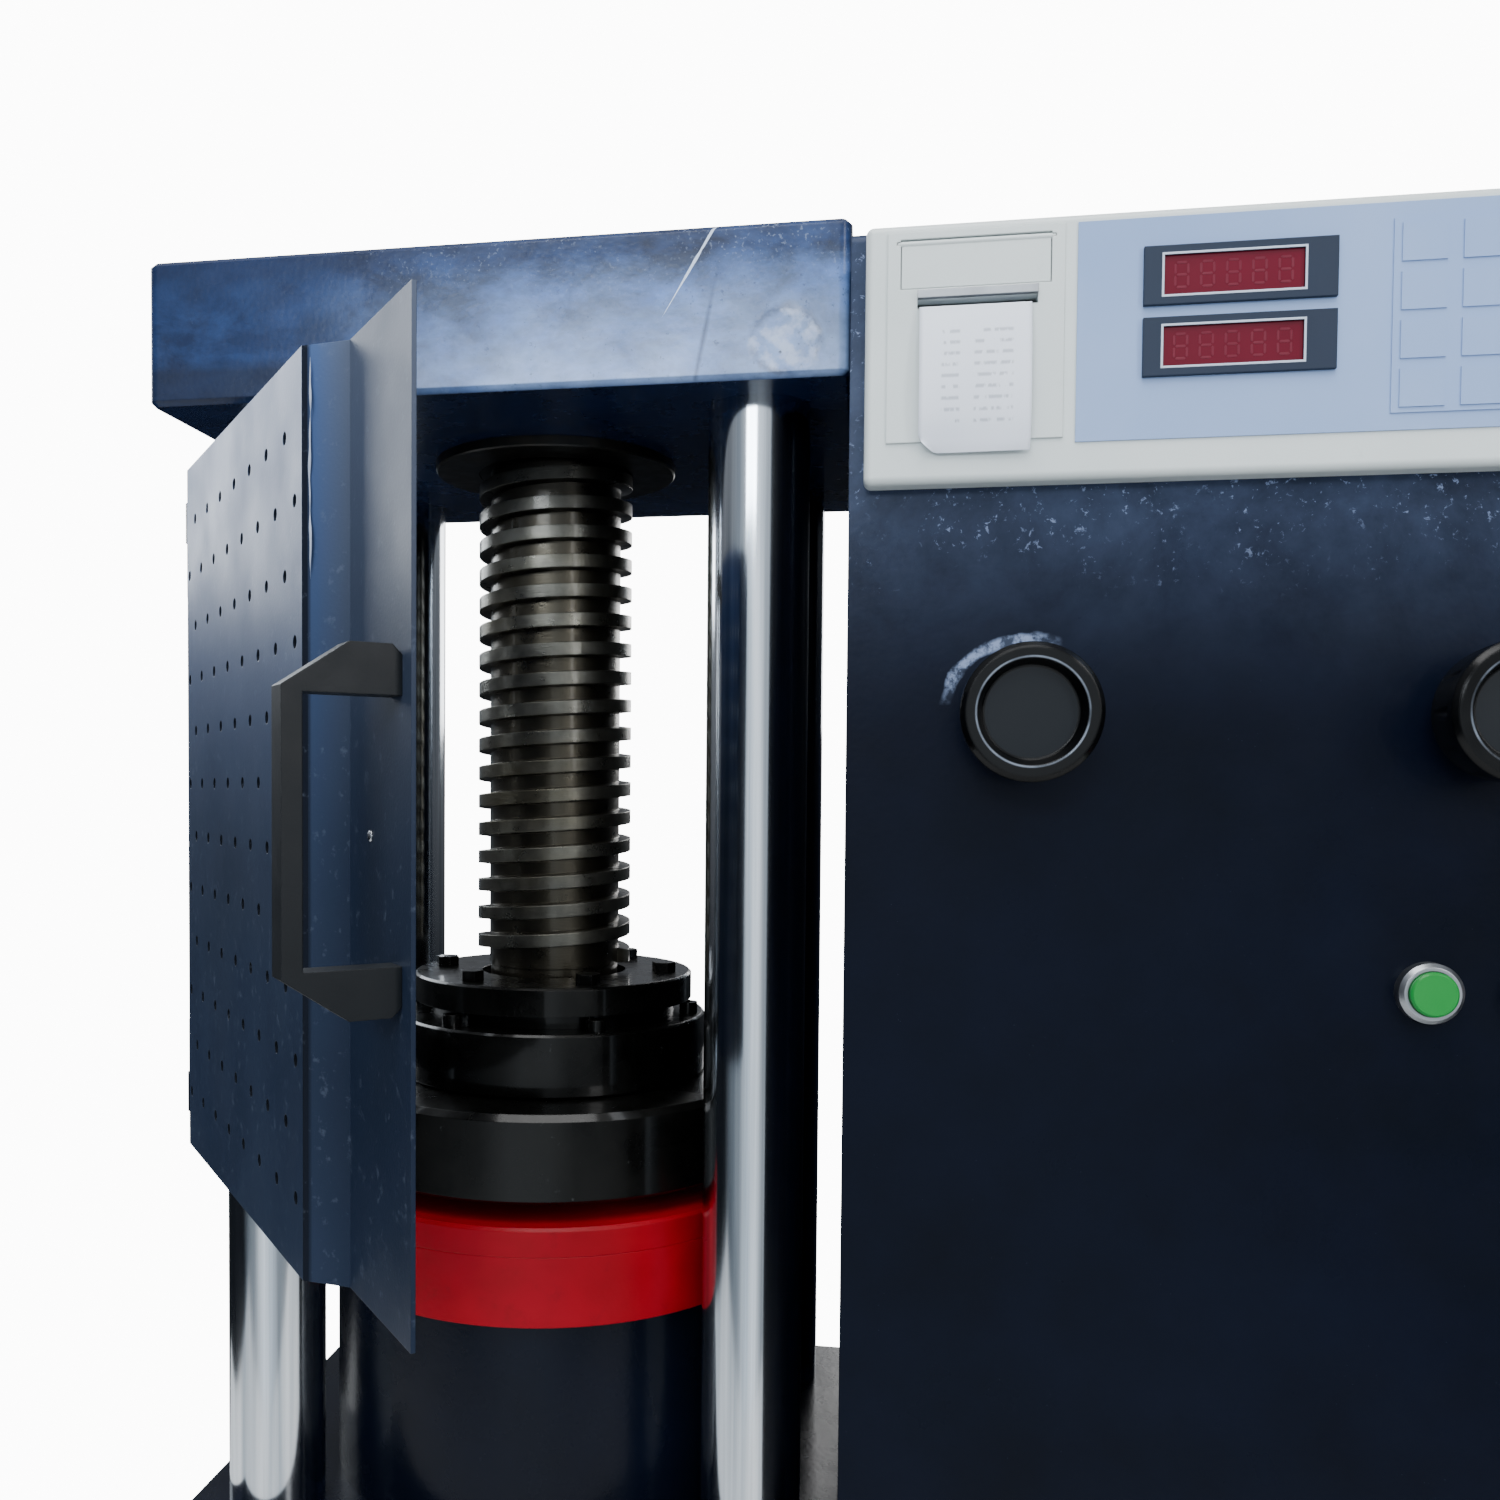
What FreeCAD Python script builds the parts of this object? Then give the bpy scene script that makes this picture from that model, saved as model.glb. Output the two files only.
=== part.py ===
import FreeCAD, Part
import math
import os
import re

import Sketcher

from FreeCAD import Placement, Rotation, Vector

# A compression testing machine: a four-column load frame with a screw-adjusted upper
# platen, a hydraulic ram below it, a swinging guard door, and a control console that
# stands against the right side of the frame. Millimetres. The origin lies on the floor,
# on the axis of the screw. +X is to the right, +Y to the back, +Z up.

os.makedirs("parts", exist_ok=True)
doc = FreeCAD.newDocument("compression_machine")
sheet = doc.addObject("Spreadsheet::Sheet", "sizes")

SIZES = {
    # Load frame
    "bed_top": 410,
    "bed_thickness": 90,
    "daylight": 703,
    "frame_width": 426,
    "frame_depth": 362,
    "crosshead_height": 87,
    "corner_radius": 7,
    "edge_chamfer": 3,
    "column_radius": 31,
    "column_side": 56,
    "column_inset": 59,
    "stud_radius": 24,
    "stud_end": 4,
    "nut_flats": 72,
    "nut_height": 30,
    "nut_recess_radius": 43,
    "nut_recess": 38,
    "clearance": 0.3,
    # Stand under the bed
    "stand_wall": 12,
    "foot_thickness": 16,
    "foot_overhang": 36,
    "window_width": 240,
    "window_height": 150,
    "window_sill": 90,
    "anchor_radius": 9,
    "anchor_inset": 18,
    "anchor_span": 350,
    # Hydraulic ram
    "cylinder_inset": 4,
    "cylinder_height": 141,
    "cylinder_floor": 30,
    "oil_bore": 6,
    "piston_radius": 110,
    "piston_fit": 0.05,
    "ram_down": 40,
    "stop_gap": 1,
    "seal_height": 10,
    "seal_depth": 8,
    "seal_inset": 26,
    "wiper_height": 8,
    "wiper_depth": 12,
    "platen_height": 201,
    "platen_lap": 1,
    "lower_platen_thickness": 18,
    "skirt_wall": 3,
    "skirt_height": 43.5,
    "groove_width": 2,
    "groove_depth": 1,
    "groove_radius": 50,
    # Upper platen and its spherical seat
    "test_gap": 12,
    "upper_platen_radius": 150,
    "upper_platen_thickness": 55.5,
    "ball_radius": 80,
    "ball_rim": 57,
    "washer_radius": 50,
    "washer_crown": 9,
    "washer_lift": 2,
    "spherical_fit": 0.05,
    "seat_radius": 109.5,
    "seat_height": 42.5,
    "seat_cavity": 75,
    "seat_neck_radius": 87,
    "seat_neck_height": 10,
    "ring_radius": 100,
    "ring_bore": 52,
    "ring_thickness": 19,
    "ring_bolts": 6,
    "ring_bolt_circle": 81,
    "ring_bolt_radius": 4.5,
    "ring_bolt_grip": 36,
    "bolt_head_radius": 8.5,
    "bolt_head_height": 7,
    "seat_screws": 6,
    "seat_screw_circle": 99,
    "seat_screw_radius": 4,
    "seat_screw_length": 70,
    "seat_head_radius": 6.5,
    "seat_head_height": 8,
    # Lead screw and nut
    "thread_radius": 55,
    "thread_root": 46.7,
    "thread_pitch": 20,
    "thread_land": 8.8,
    "thread_taper": 2.2,
    "thread_bite": 1,
    "thread_margin": 0.2,
    "thread_play": 0.4,
    "thread_start": 5,
    "screw_foot_radius": 62,
    "screw_foot_thickness": 15.5,
    "screw_neck_radius": 46,
    "nut_radius": 70,
    "nut_flange_radius": 85.6,
    "nut_flange": 7,
    "nut_top_gap": 3,
    "stub_radius": 20,
    "stub_length": 20,
    "wheel_radius": 88,
    "wheel_tube": 8,
    "wheel_gap": 8,
    "hub_radius": 34,
    "spoke_radius": 6,
    # Guard door
    "hinge_side": 28.1,
    "hinge_front": 45.25,
    "door_offset": 9,
    "door_open": 50.3,
    "door_bottom": 250,
    "door_height": 413,
    "door_sheet": 2,
    "door_edge": 9.5,
    "door_pan": 269,
    "door_flange_start": 287.5,
    "door_width": 365,
    "door_joggle": 16,
    "perforation_radius": 3,
    "perforation_pitch": 34.3,
    "perforation_rows": 6,
    "perforation_row_gap": 31.4,
    "perforation_margin": 34,
    "perforation_start": 17,
    "collar_radius": 41,
    "collar_height": 24,
    "collar_inset": 30,
    "hinge_arm": 14,
    "hinge_eye": 9,
    "hinge_pin_radius": 4,
    "knuckle_radius": 8,
    "knuckle_height": 34,
    "hinge_leaf": 3,
    "hinge_leaf_width": 13.5,
    "hinge_fit": 0.1,
    "handle_station": 348,
    "handle_middle": 453,
    "handle_length": 146,
    "handle_reach": 47,
    "handle_thickness": 8,
    "handle_width": 14,
    "handle_foot": 20,
    "handle_shoulder": 26,
    "handle_shoulder_drop": 17.5,
    "handle_corner": 4,
    "handle_tap_room": 3,
    "handle_screw_radius": 2.5,
    "handle_screw_span": 126,
    "handle_screw_head": 3,
    "handle_screw_grip": 13,
    "screw_hole_gap": 0.2,
    # Console cabinet
    "console_gap": 0.3,
    "console_width": 400,
    "console_depth": 400,
    "console_front": -228,
    "console_height": 1171,
    "plinth_height": 60,
    "plinth_inset": 15,
    "plinth_wall": 3,
    "sheet_wall": 2,
    "cabinet_corner": 6,
    "rear_lip": 10,
    "louvre_count": 8,
    "louvre_pitch": 22,
    "louvre_length": 240,
    "louvre_slot": 5,
    "louvre_drop": 311,
    "inlet_offset": 60,
    "inlet_level": 380,
    "inlet_width": 48,
    "inlet_height": 28,
    "inlet_depth": 24,
    "inlet_wall": 5,
    "inlet_pin": 2,
    "inlet_pin_pitch": 7,
    "tie_bolt_radius": 6,
    "tie_bolt_head": 11,
    "tie_head_height": 8,
    "tie_nut_height": 10,
    "tie_end": 2,
    # Display panel on the console
    "panel_inset": 7.7,
    "panel_width": 384,
    "panel_drop": 3,
    "panel_height": 131,
    "panel_thickness": 13,
    "panel_round": 4,
    "label_inset": 104,
    "label_width": 268,
    "label_rise": 18,
    "label_height": 108,
    "label_thickness": 1,
    "display_inset": 31,
    "display_width": 89,
    "display_height": 28.5,
    "display_rise": 30,
    "display_pitch": 34.6,
    "display_frame": 9.3,
    "display_frame_right": 14.9,
    "display_frame_end": 4.5,
    "window_gap": 0.1,
    "display_thickness": 2.5,
    "window_thickness": 1.2,
    "keypad_inset": 145,
    "keypad_width": 108,
    "keypad_margin": 8,
    "keypad_thickness": 0.8,
    "key_columns": 4,
    "key_rows": 4,
    "key_width": 20,
    "key_depth": 18,
    "key_rise": 0.8,
    # Slip printer
    "printer_inset": 11,
    "printer_width": 87,
    "printer_rise": 20.5,
    "printer_height": 105.5,
    "printer_flange": 1.2,
    "printer_lip": 3,
    "printer_frame": 6.5,
    "printer_depth": 60,
    "slot_rise": 67,
    "slot_height": 4.5,
    "bar_height": 4,
    "slot_inset": 15,
    "slot_width": 59,
    "cover_rise": 77.5,
    "cover_height": 24,
    "slot_depth": 12,
    "chamber_width": 61,
    "chamber_front": 8,
    "chamber_floor": 16,
    "chamber_back": 6,
    "chamber_roof": 3,
    "chamber_window": 5,
    "roll_room": 14,
    "cover_thickness": 2,
    "cover_gap": 0.5,
    "cover_pin": 1.5,
    "cover_pin_end": 2,
    "roll_radius": 20,
    "roll_core": 6,
    "paper_width": 55,
    "paper_thickness": 0.4,
    "paper_drop": 74,
    "paper_stand": 3,
    "paper_bulge": 6.6,
    "paper_tail": 1.8,
    "bar_thickness": 3,
    # Valves and push buttons
    "load_valve_inset": 89.7,
    "release_valve_inset": 309.7,
    "valve_drop": 252,
    "knob_radius": 34,
    "knob_back": 27,
    "knob_length": 43,
    "knob_gap": 2,
    "knob_dish": 23,
    "knob_dish_depth": 7,
    "knob_flutes": 12,
    "flute_radius": 3,
    "spindle_radius": 6,
    "spindle_fit": 0.1,
    "spindle_depth": 46,
    "block_overhang": 34,
    "block_depth": 104,
    "block_height": 56,
    "button_drop": 136,
    "button_pitch": 50,
    "button_radius": 11,
    "button_stem": 8,
    "button_stand": 11,
    "button_travel": 4,
    "bezel_radius": 15,
    "bezel_height": 8,
    "contact_depth": 36,
    "contact_width": 34,
    # Power pack inside the console
    "tank_inset": 20,
    "tank_depth": 252,
    "tank_height": 234,
    "tank_wall": 3,
    "motor_inset": 136.7,
    "motor_radius": 68,
    "motor_height": 190,
    "motor_flange": 84,
    "motor_flange_height": 12,
    "fin_count": 20,
    "fin_depth": 6,
    "fin_width": 6,
    "shaft_radius": 10,
    "shaft_length": 220,
    "pump_radius": 46,
    "pump_height": 130,
    "pipe_radius": 6,
    "pipe_bore": 4,
    "pipe_level": 200,
    "pipe_side": 140,
    "pipe_bend": 40,
}

# Places worked out from the sizes
PLACES = {
    "bed_bottom": "bed_top - bed_thickness",
    "underside": "bed_top + daylight",
    "crosshead_top": "underside + crosshead_height",
    "half_width": "frame_width / 2",
    "half_depth": "frame_depth / 2",
    "column_x": "half_width - column_side",
    "column_y": "half_depth - column_inset",
    "cylinder_radius": "column_x - cylinder_inset",
    "lower_platen_radius": "column_x + platen_lap",
    "stud_bore": "stud_radius + clearance",
    "nut_seat": "crosshead_top - nut_recess",
    "bore_radius": "piston_radius + piston_fit",
    "bore_floor": "bed_top + cylinder_floor",
    "platen_top": "bed_top + platen_height",
    "piston_top": "platen_top - lower_platen_thickness",
    "piston_bottom": "bore_floor + stop_gap + ram_down",
    "upper_face": "platen_top + test_gap",
    "seat_bottom": "upper_face + upper_platen_thickness",
    "seat_top": "seat_bottom + seat_height",
    "ring_bottom": "seat_top + seat_neck_height",
    "ring_top": "ring_bottom + ring_thickness",
    "washer_top": "upper_face + ball_radius + washer_crown",
    "washer_bottom": "seat_bottom + washer_lift",
    "screw_foot_top": "washer_top + spherical_fit + screw_foot_thickness",
    "thread_bottom": "ring_top + thread_start",
    "thread_foot": "thread_land + thread_taper",
    "thread_first": "thread_bottom + thread_foot / 2 + thread_margin",
    "door_hinge_x": "-column_x - hinge_side",
    "door_hinge_y": "-column_y - hinge_front",
    "door_x": "door_hinge_x - door_offset * sin(door_open)",
    "door_y": "door_hinge_y - door_offset * cos(door_open)",
    "door_z": "bed_top + door_bottom",
    "door_top": "door_z + door_height",
    "handle_screw_bore": "handle_screw_radius + screw_hole_gap",
    "collar_low": "door_z + collar_inset - collar_height / 2",
    "collar_high": "door_top - collar_inset - collar_height / 2",
    "console_left": "half_width + console_gap",
    "console_back": "console_front + console_depth",
    "console_right": "console_left + console_width",
    "valve_level": "console_height - valve_drop",
    "button_level": "valve_level - button_drop",
    "panel_bottom": "console_height - panel_drop - panel_height",
    "label_bottom": "panel_bottom + label_rise",
    "display_low": "label_bottom + display_rise",
    "printer_bottom": "panel_bottom + printer_rise",
    "slot_bottom": "printer_bottom + slot_rise",
    "cover_bottom": "printer_bottom + cover_rise",
    "cover_top": "cover_bottom + cover_height",
    "panel_left": "console_left + panel_inset",
    "label_left": "panel_left + label_inset",
    "display_left": "label_left + display_inset",
    "keypad_left": "label_left + keypad_inset",
    "printer_left": "panel_left + printer_inset",
    "slot_left": "printer_left + slot_inset",
    "load_valve": "console_left + load_valve_inset",
    "release_valve": "console_left + release_valve_inset",
    "motor_x": "console_left + motor_inset",
    "panel_front": "console_front - panel_thickness",
    "label_front": "panel_front - label_thickness",
    "printer_face": "panel_front - printer_flange",
    "pane_width": "display_width - display_frame - display_frame_right",
    "pane_height": "display_height - display_frame_end * 2",
    "chamber_left": "printer_left + printer_width / 2 - chamber_width / 2",
    "cover_axis_y": "printer_face + cover_thickness / 2 + 0.5",
    "cover_axis_z": "cover_top - cover_pin",
    "console_middle": "(console_left + console_right) / 2",
    "inlet_left": "console_right - inlet_offset - inlet_width",
    "cabinet_inside": "console_front + sheet_wall",
    "cabinet_floor": "plinth_height + sheet_wall",
    "tank_top": "cabinet_floor + tank_height",
    "tank_back": "console_back - rear_lip - sheet_wall",
    "motor_y": "tank_back - tank_depth / 2",
    "key_pitch_x": "keypad_width / key_columns",
    "key_pitch_z": "(label_height - keypad_margin * 2) / key_rows",
    "keypad_bottom": "label_bottom + keypad_margin",
    "roll_y": "printer_face + chamber_front + 1 + roll_radius",
    "roll_z": "printer_bottom + chamber_floor + roll_room + roll_radius",
    "roll_left": "printer_left + (printer_width - paper_width) / 2",
}

for row, (alias, number) in enumerate(SIZES.items(), 1):
    sheet.set(f"A{row}", alias.replace("_", " "))
    sheet.set(f"B{row}", str(number))
    sheet.setAlias(f"B{row}", alias)
doc.recompute()

NODES = []


def bound(text):
    """An expression on the sheet, from a text that names sizes and places."""

    def swap(match):
        word = match.group(0)
        if word in PLACES:
            return "(" + bound(PLACES[word]) + ")"
        if word in SIZES:
            return "sizes." + word
        return word

    return re.sub(r"[a-z_][a-z_0-9]*", swap, str(text))


def value(text):
    """The present number of such a text."""
    result = sheet.evalExpression(bound(text))
    return float(getattr(result, "Value", result))


def bind(item, **texts):
    """Binds properties of an object to texts that name sizes and places."""
    for name, text in texts.items():
        item.setExpression(name, bound(text))


def place(item, x="0", y="0", z="0", turn=None):
    """Puts an object at a place, turned first where a rotation is given."""
    if turn is not None:
        item.Placement = Placement(Vector(), turn)
    for key, text in zip("xyz", (x, y, z)):
        item.setExpression("Placement.Base." + key, bound(text))
    return item


def node(item, name):
    """Names an object as a sub-part that is written to its own file."""
    item.Label = name
    NODES.append(item)
    return item


# Primitives and booleans

TURNS = {
    "Z": Rotation(),
    "X": Rotation(Vector(0, 1, 0), 90),
    "Y": Rotation(Vector(1, 0, 0), -90),
}


def box(name, x, y, z, length, width, height):
    item = doc.addObject("Part::Box", name)
    bind(item, Length=length, Width=width, Height=height)
    return place(item, x, y, z)


def cylinder(name, x, y, z, radius, height, axis="Z"):
    item = doc.addObject("Part::Cylinder", name)
    bind(item, Radius=radius, Height=height)
    return place(item, x, y, z, TURNS[axis])


def hexagon(name, x, y, z, flats, height, axis="Z"):
    item = doc.addObject("Part::Prism", name)
    item.Polygon = 6
    bind(item, Circumradius=f"({flats}) / 2 / cos(30deg)", Height=height)
    return place(item, x, y, z, TURNS[axis])


def merged(name, *parts):
    if len(parts) == 1:
        return parts[0]
    item = doc.addObject("Part::MultiFuse", name)
    item.Shapes = list(parts)
    return item


def cut(name, base, *tools):
    item = doc.addObject("Part::Cut", name)
    item.Base = base
    item.Tool = merged(name + "_tools", *tools)
    return item


def group(name, *parts):
    item = doc.addObject("Part::Compound", name)
    item.Links = list(parts)
    return item


# Bodies drawn in sketches

def new_body(name):
    return doc.addObject("PartDesign::Body", name)


def new_sketch(body, role, name, offset="0"):
    """A sketch on one of the body's own origin planes, moved along its normal."""
    sketch = body.newObject("Sketcher::SketchObject", name)
    plane = next(f for f in body.Origin.OriginFeatures if f.Role == role)
    sketch.AttachmentSupport = [(plane, "")]
    sketch.MapMode = "FlatFace"
    sketch.setExpression("AttachmentOffset.Base.z", bound(offset))
    return sketch


def tie(sketch, edge, end, across, up):
    """Dimensions one point of a sketch from the sketch's origin."""
    for kind, text in (("DistanceX", across), ("DistanceY", up)):
        rule = Sketcher.Constraint(kind, -1, 1, edge, end, value(text))
        index = sketch.addConstraint(rule)
        sketch.setExpression(f"Constraints[{index}]", bound(text))


def outline(sketch, points):
    """A closed loop of straight edges through dimensioned points."""
    first = sketch.GeometryCount
    count = len(points)
    corners = [Vector(value(a), value(b), 0) for a, b in points]
    for i in range(count):
        sketch.addGeometry(Part.LineSegment(corners[i], corners[(i + 1) % count]), False)
    for i in range(count):
        following = first + (i + 1) % count
        sketch.addConstraint(Sketcher.Constraint("Coincident", first + i, 2, following, 1))
    for i, (across, up) in enumerate(points):
        tie(sketch, first + i, 1, across, up)


def rectangle(sketch, left, low, right, high):
    outline(sketch, [(left, low), (right, low), (right, high), (left, high)])


def narrowed(name, margin):
    """Corners of a named outline, drawn in by a margin."""
    return (f"{name}_left + {margin}", f"{name}_bottom + {margin}",
            f"{name}_left + {name}_width - {margin}", f"{name}_bottom + {name}_height - {margin}")


def ring(sketch, across, up, radius):
    """A full circle with a dimensioned centre and radius."""
    centre = Vector(value(across), value(up), 0)
    edge = sketch.addGeometry(Part.Circle(centre, Vector(0, 0, 1), value(radius)), False)
    tie(sketch, edge, 3, across, up)
    index = sketch.addConstraint(Sketcher.Constraint("Radius", edge, value(radius)))
    sketch.setExpression(f"Constraints[{index}]", bound(radius))


def pad(body, sketch, name, length, reverse=False):
    item = body.newObject("PartDesign::Pad", name)
    item.Profile = sketch
    item.Reversed = reverse
    bind(item, Length=length)
    sketch.Visibility = False
    return item


def pocket(body, sketch, name, length, reverse=False):
    item = body.newObject("PartDesign::Pocket", name)
    item.Profile = sketch
    item.Reversed = reverse
    bind(item, Length=length)
    sketch.Visibility = False
    return item


def turned(name, points, x="0", y="0", z="0", turn=None):
    """A body revolved about its own Z axis from a profile of radius and height."""
    body = new_body(name)
    profile = new_sketch(body, "XZ_Plane", name + "_profile")
    outline(profile, points)
    item = body.newObject("PartDesign::Revolution", name + "_turn")
    item.Profile = profile
    item.ReferenceAxis = (profile, ["V_Axis"])
    item.Angle = 360
    place(body, x, y, z, turn)
    return body


def polar(body, feature, name, count):
    """Repeats a feature round the body's Z axis."""
    item = body.newObject("PartDesign::PolarPattern", name)
    item.Originals = [feature]
    axis = next(f for f in body.Origin.OriginFeatures if f.Role == "Z_Axis")
    item.Axis = (axis, [""])
    item.Angle = 360
    bind(item, Occurrences=count)
    body.Tip = item
    return item


def linear(body, feature, name, role, length, count, reverse=False):
    """Repeats a feature along one of the body's axes."""
    item = body.newObject("PartDesign::LinearPattern", name)
    item.Originals = [feature]
    axis = next(f for f in body.Origin.OriginFeatures if f.Role == role)
    item.Direction = (axis, [""])
    item.Reversed = reverse
    bind(item, Length=length, Occurrences=count)
    body.Tip = item
    return item


def edges_where(shape, test):
    """Names of the straight or round edges of a shape that pass a test of their box."""
    return [f"Edge{i}" for i, edge in enumerate(shape.Edges, 1) if test(edge.BoundBox)]


def upright(span):
    """True for an edge that stands along Z."""
    return span.XLength < 0.01 and span.YLength < 0.01


def outer_corner(span):
    """True for an upright edge at a side face of the load frame."""
    return upright(span) and abs(span.XMin) > value("half_width - 1")


def round_edges(body, feature, name, test, radius, kind="Fillet"):
    """Fillets or chamfers the edges of a feature that pass a test."""
    doc.recompute()
    names = edges_where(feature.Shape, test)
    item = body.newObject("PartDesign::" + kind, name)
    item.Base = (feature, names)
    bind(item, **{"Radius" if kind == "Fillet" else "Size": radius})
    return item


# Load frame

FOUR_CORNERS = [
    ("-", "-", "front_left"), ("", "-", "front_right"), ("-", "", "rear_left"), ("", "", "rear_right"),
]


def corner_rings(sketch, across, up, radius):
    """Four circles, one in each corner of a pattern about the sketch's origin."""
    for side, depth, _ in FOUR_CORNERS:
        ring(sketch, f"{side}({across})", f"{depth}({up})", radius)


def make_stand():
    """A welded box pedestal on a foot plate with four anchor holes."""
    body = new_body("stand")
    foot = new_sketch(body, "XY_Plane", "stand_foot")
    reach = "(half_depth + foot_overhang)"
    rectangle(foot, "-half_width", "-" + reach, "half_width", reach)
    corner_rings(foot, "anchor_span / 2", reach + " - anchor_inset", "anchor_radius")
    pad(body, foot, "stand_foot_plate", "foot_thickness")
    wall = new_sketch(body, "XY_Plane", "stand_wall_ring", "foot_thickness")
    rectangle(wall, "-half_width", "-half_depth", "half_width", "half_depth")
    rectangle(wall, "-half_width + stand_wall", "-half_depth + stand_wall",
              "half_width - stand_wall", "half_depth - stand_wall")
    pad(body, wall, "stand_walls", "bed_bottom - foot_thickness")
    window = new_sketch(body, "XZ_Plane", "stand_window", "-frame_depth")
    rectangle(window, "-window_width / 2", "window_sill", "window_width / 2", "window_sill + window_height")
    opening = pocket(body, window, "stand_openings", "frame_depth * 2", True)
    body.Tip = opening
    pipe_way = new_sketch(body, "YZ_Plane", "stand_pipe_way", "half_width + 1")
    ring(pipe_way, "-pipe_side", "pipe_level", "pipe_radius + 3")
    pocket(body, pipe_way, "stand_pipe_hole", "stand_wall + 2")
    ties = new_sketch(body, "YZ_Plane", "stand_ties", "half_width + 1")
    for side in ("-", ""):
        for level in ("window_sill", "window_sill + window_height"):
            ring(ties, f"{side}column_y", level, "tie_bolt_radius + clearance")
    pocket(body, ties, "stand_tie_holes", "stand_wall + 2")
    return node(body, "stand")


def make_bed():
    """The bed casting that carries the cylinder and the column studs."""
    body = new_body("bed")
    plan = new_sketch(body, "XY_Plane", "bed_plan")
    rectangle(plan, "-half_width", "-half_depth", "half_width", "half_depth")
    corner_rings(plan, "column_x", "column_y", "stud_bore")
    ring(plan, "0", "0", "pipe_radius + clearance")
    block = pad(body, plan, "bed_block", "bed_thickness")
    corners = round_edges(body, block, "bed_corners", outer_corner, "corner_radius")
    long_edge = value("stud_bore * 5")
    top = value("bed_thickness") - 0.01
    round_edges(body, corners, "bed_edges", lambda span: span.ZMin > top and span.DiagonalLength > long_edge,
                "edge_chamfer", "Chamfer")
    place(body, z="bed_bottom")
    return node(body, "bed")


def make_columns():
    """Four hard-chromed columns, each with a turned stud at both ends."""
    for side, depth, name in FOUR_CORNERS:
        low = "bed_bottom - nut_height - stud_end"
        high = "crosshead_top - stud_end"
        body = turned("column_" + name, [
            ("0", low), ("stud_radius - 2", low), ("stud_radius", low + " + 2"),
            ("stud_radius", "bed_top"), ("column_radius", "bed_top"),
            ("column_radius", "underside"), ("stud_radius", "underside"),
            ("stud_radius", high + " - 2"), ("stud_radius - 2", high), ("0", high),
        ], f"{side}column_x", f"{depth}column_y")
        node(body, "column_" + name)


def make_column_nuts():
    """Hexagon nuts: sunk flush in the crosshead above, under the bed below."""
    for name, level in (("top_nuts", "nut_seat"), ("bottom_nuts", "bed_bottom - nut_height")):
        nuts = []
        for side, depth, corner in FOUR_CORNERS:
            spot = (f"{side}column_x", f"{depth}column_y")
            blank = hexagon(f"{name}_{corner}_blank", *spot, level, "nut_flats", "nut_height")
            bore = cylinder(f"{name}_{corner}_bore", *spot, level + " - 1", "stud_bore", "nut_height + 2")
            nuts.append(cut(f"{name}_{corner}", blank, bore))
        node(group(name, *nuts), name)


def make_crosshead():
    """The fixed crosshead, bored for the studs, their nuts and the screw nut."""
    body = new_body("crosshead")
    plan = new_sketch(body, "XY_Plane", "crosshead_plan")
    rectangle(plan, "-half_width", "-half_depth", "half_width", "half_depth")
    corner_rings(plan, "column_x", "column_y", "stud_bore")
    ring(plan, "0", "0", "nut_radius + clearance")
    block = pad(body, plan, "crosshead_block", "crosshead_height")
    recess = new_sketch(body, "XY_Plane", "crosshead_recesses", "crosshead_height")
    corner_rings(recess, "column_x", "column_y", "nut_recess_radius")
    sunk = pocket(body, recess, "crosshead_nut_recesses", "nut_recess")
    corners = round_edges(body, sunk, "crosshead_corners", outer_corner, "corner_radius")
    long_edge = value("nut_radius * 2 + 5")

    def outer_rim(span):
        level = span.ZLength < 0.01 and span.XMax - span.XMin + span.YMax - span.YMin > long_edge
        return level and (abs(span.XMax) > value("half_width - corner_radius - 1")
                          or abs(span.YMax) > value("half_depth - corner_radius - 1"))

    round_edges(body, corners, "crosshead_edges", outer_rim, "edge_chamfer", "Chamfer")
    place(body, z="underside")
    return node(body, "crosshead")


# Hydraulic ram

def make_cylinder():
    """The ram cylinder, with grooves for the seal and the wiper."""
    seal_low = "cylinder_height - seal_inset"
    profile = [
        ("oil_bore", "0"), ("cylinder_radius", "0"), ("cylinder_radius", "cylinder_height - 2"),
        ("cylinder_radius - 2", "cylinder_height"), ("bore_radius + wiper_depth", "cylinder_height"),
        ("bore_radius + wiper_depth", "cylinder_height - wiper_height"),
        ("bore_radius", "cylinder_height - wiper_height"), ("bore_radius", seal_low + " + seal_height"),
        ("bore_radius + seal_depth", seal_low + " + seal_height"), ("bore_radius + seal_depth", seal_low),
        ("bore_radius", seal_low), ("bore_radius", "cylinder_floor"), ("oil_bore", "cylinder_floor"),
    ]
    node(turned("cylinder", profile, z="bed_top"), "cylinder")
    seal = turned("piston_seal", [
        ("piston_radius + piston_fit", seal_low + " + clearance"),
        ("bore_radius + seal_depth - clearance", seal_low + " + clearance"),
        ("bore_radius + seal_depth - clearance", seal_low + " + seal_height - clearance"),
        ("piston_radius + piston_fit", seal_low + " + seal_height - clearance"),
    ], z="bed_top")
    node(seal, "piston_seal")
    wiper = turned("wiper_ring", [
        ("piston_radius + piston_fit", "cylinder_height - wiper_height"),
        ("bore_radius + wiper_depth - clearance", "cylinder_height - wiper_height"),
        ("bore_radius + wiper_depth - clearance", "cylinder_height - 1"),
        ("piston_radius + piston_fit + 2", "cylinder_height - 1"),
        ("piston_radius + piston_fit", "cylinder_height - 3"),
    ], z="bed_top")
    node(wiper, "wiper_ring")


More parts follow.
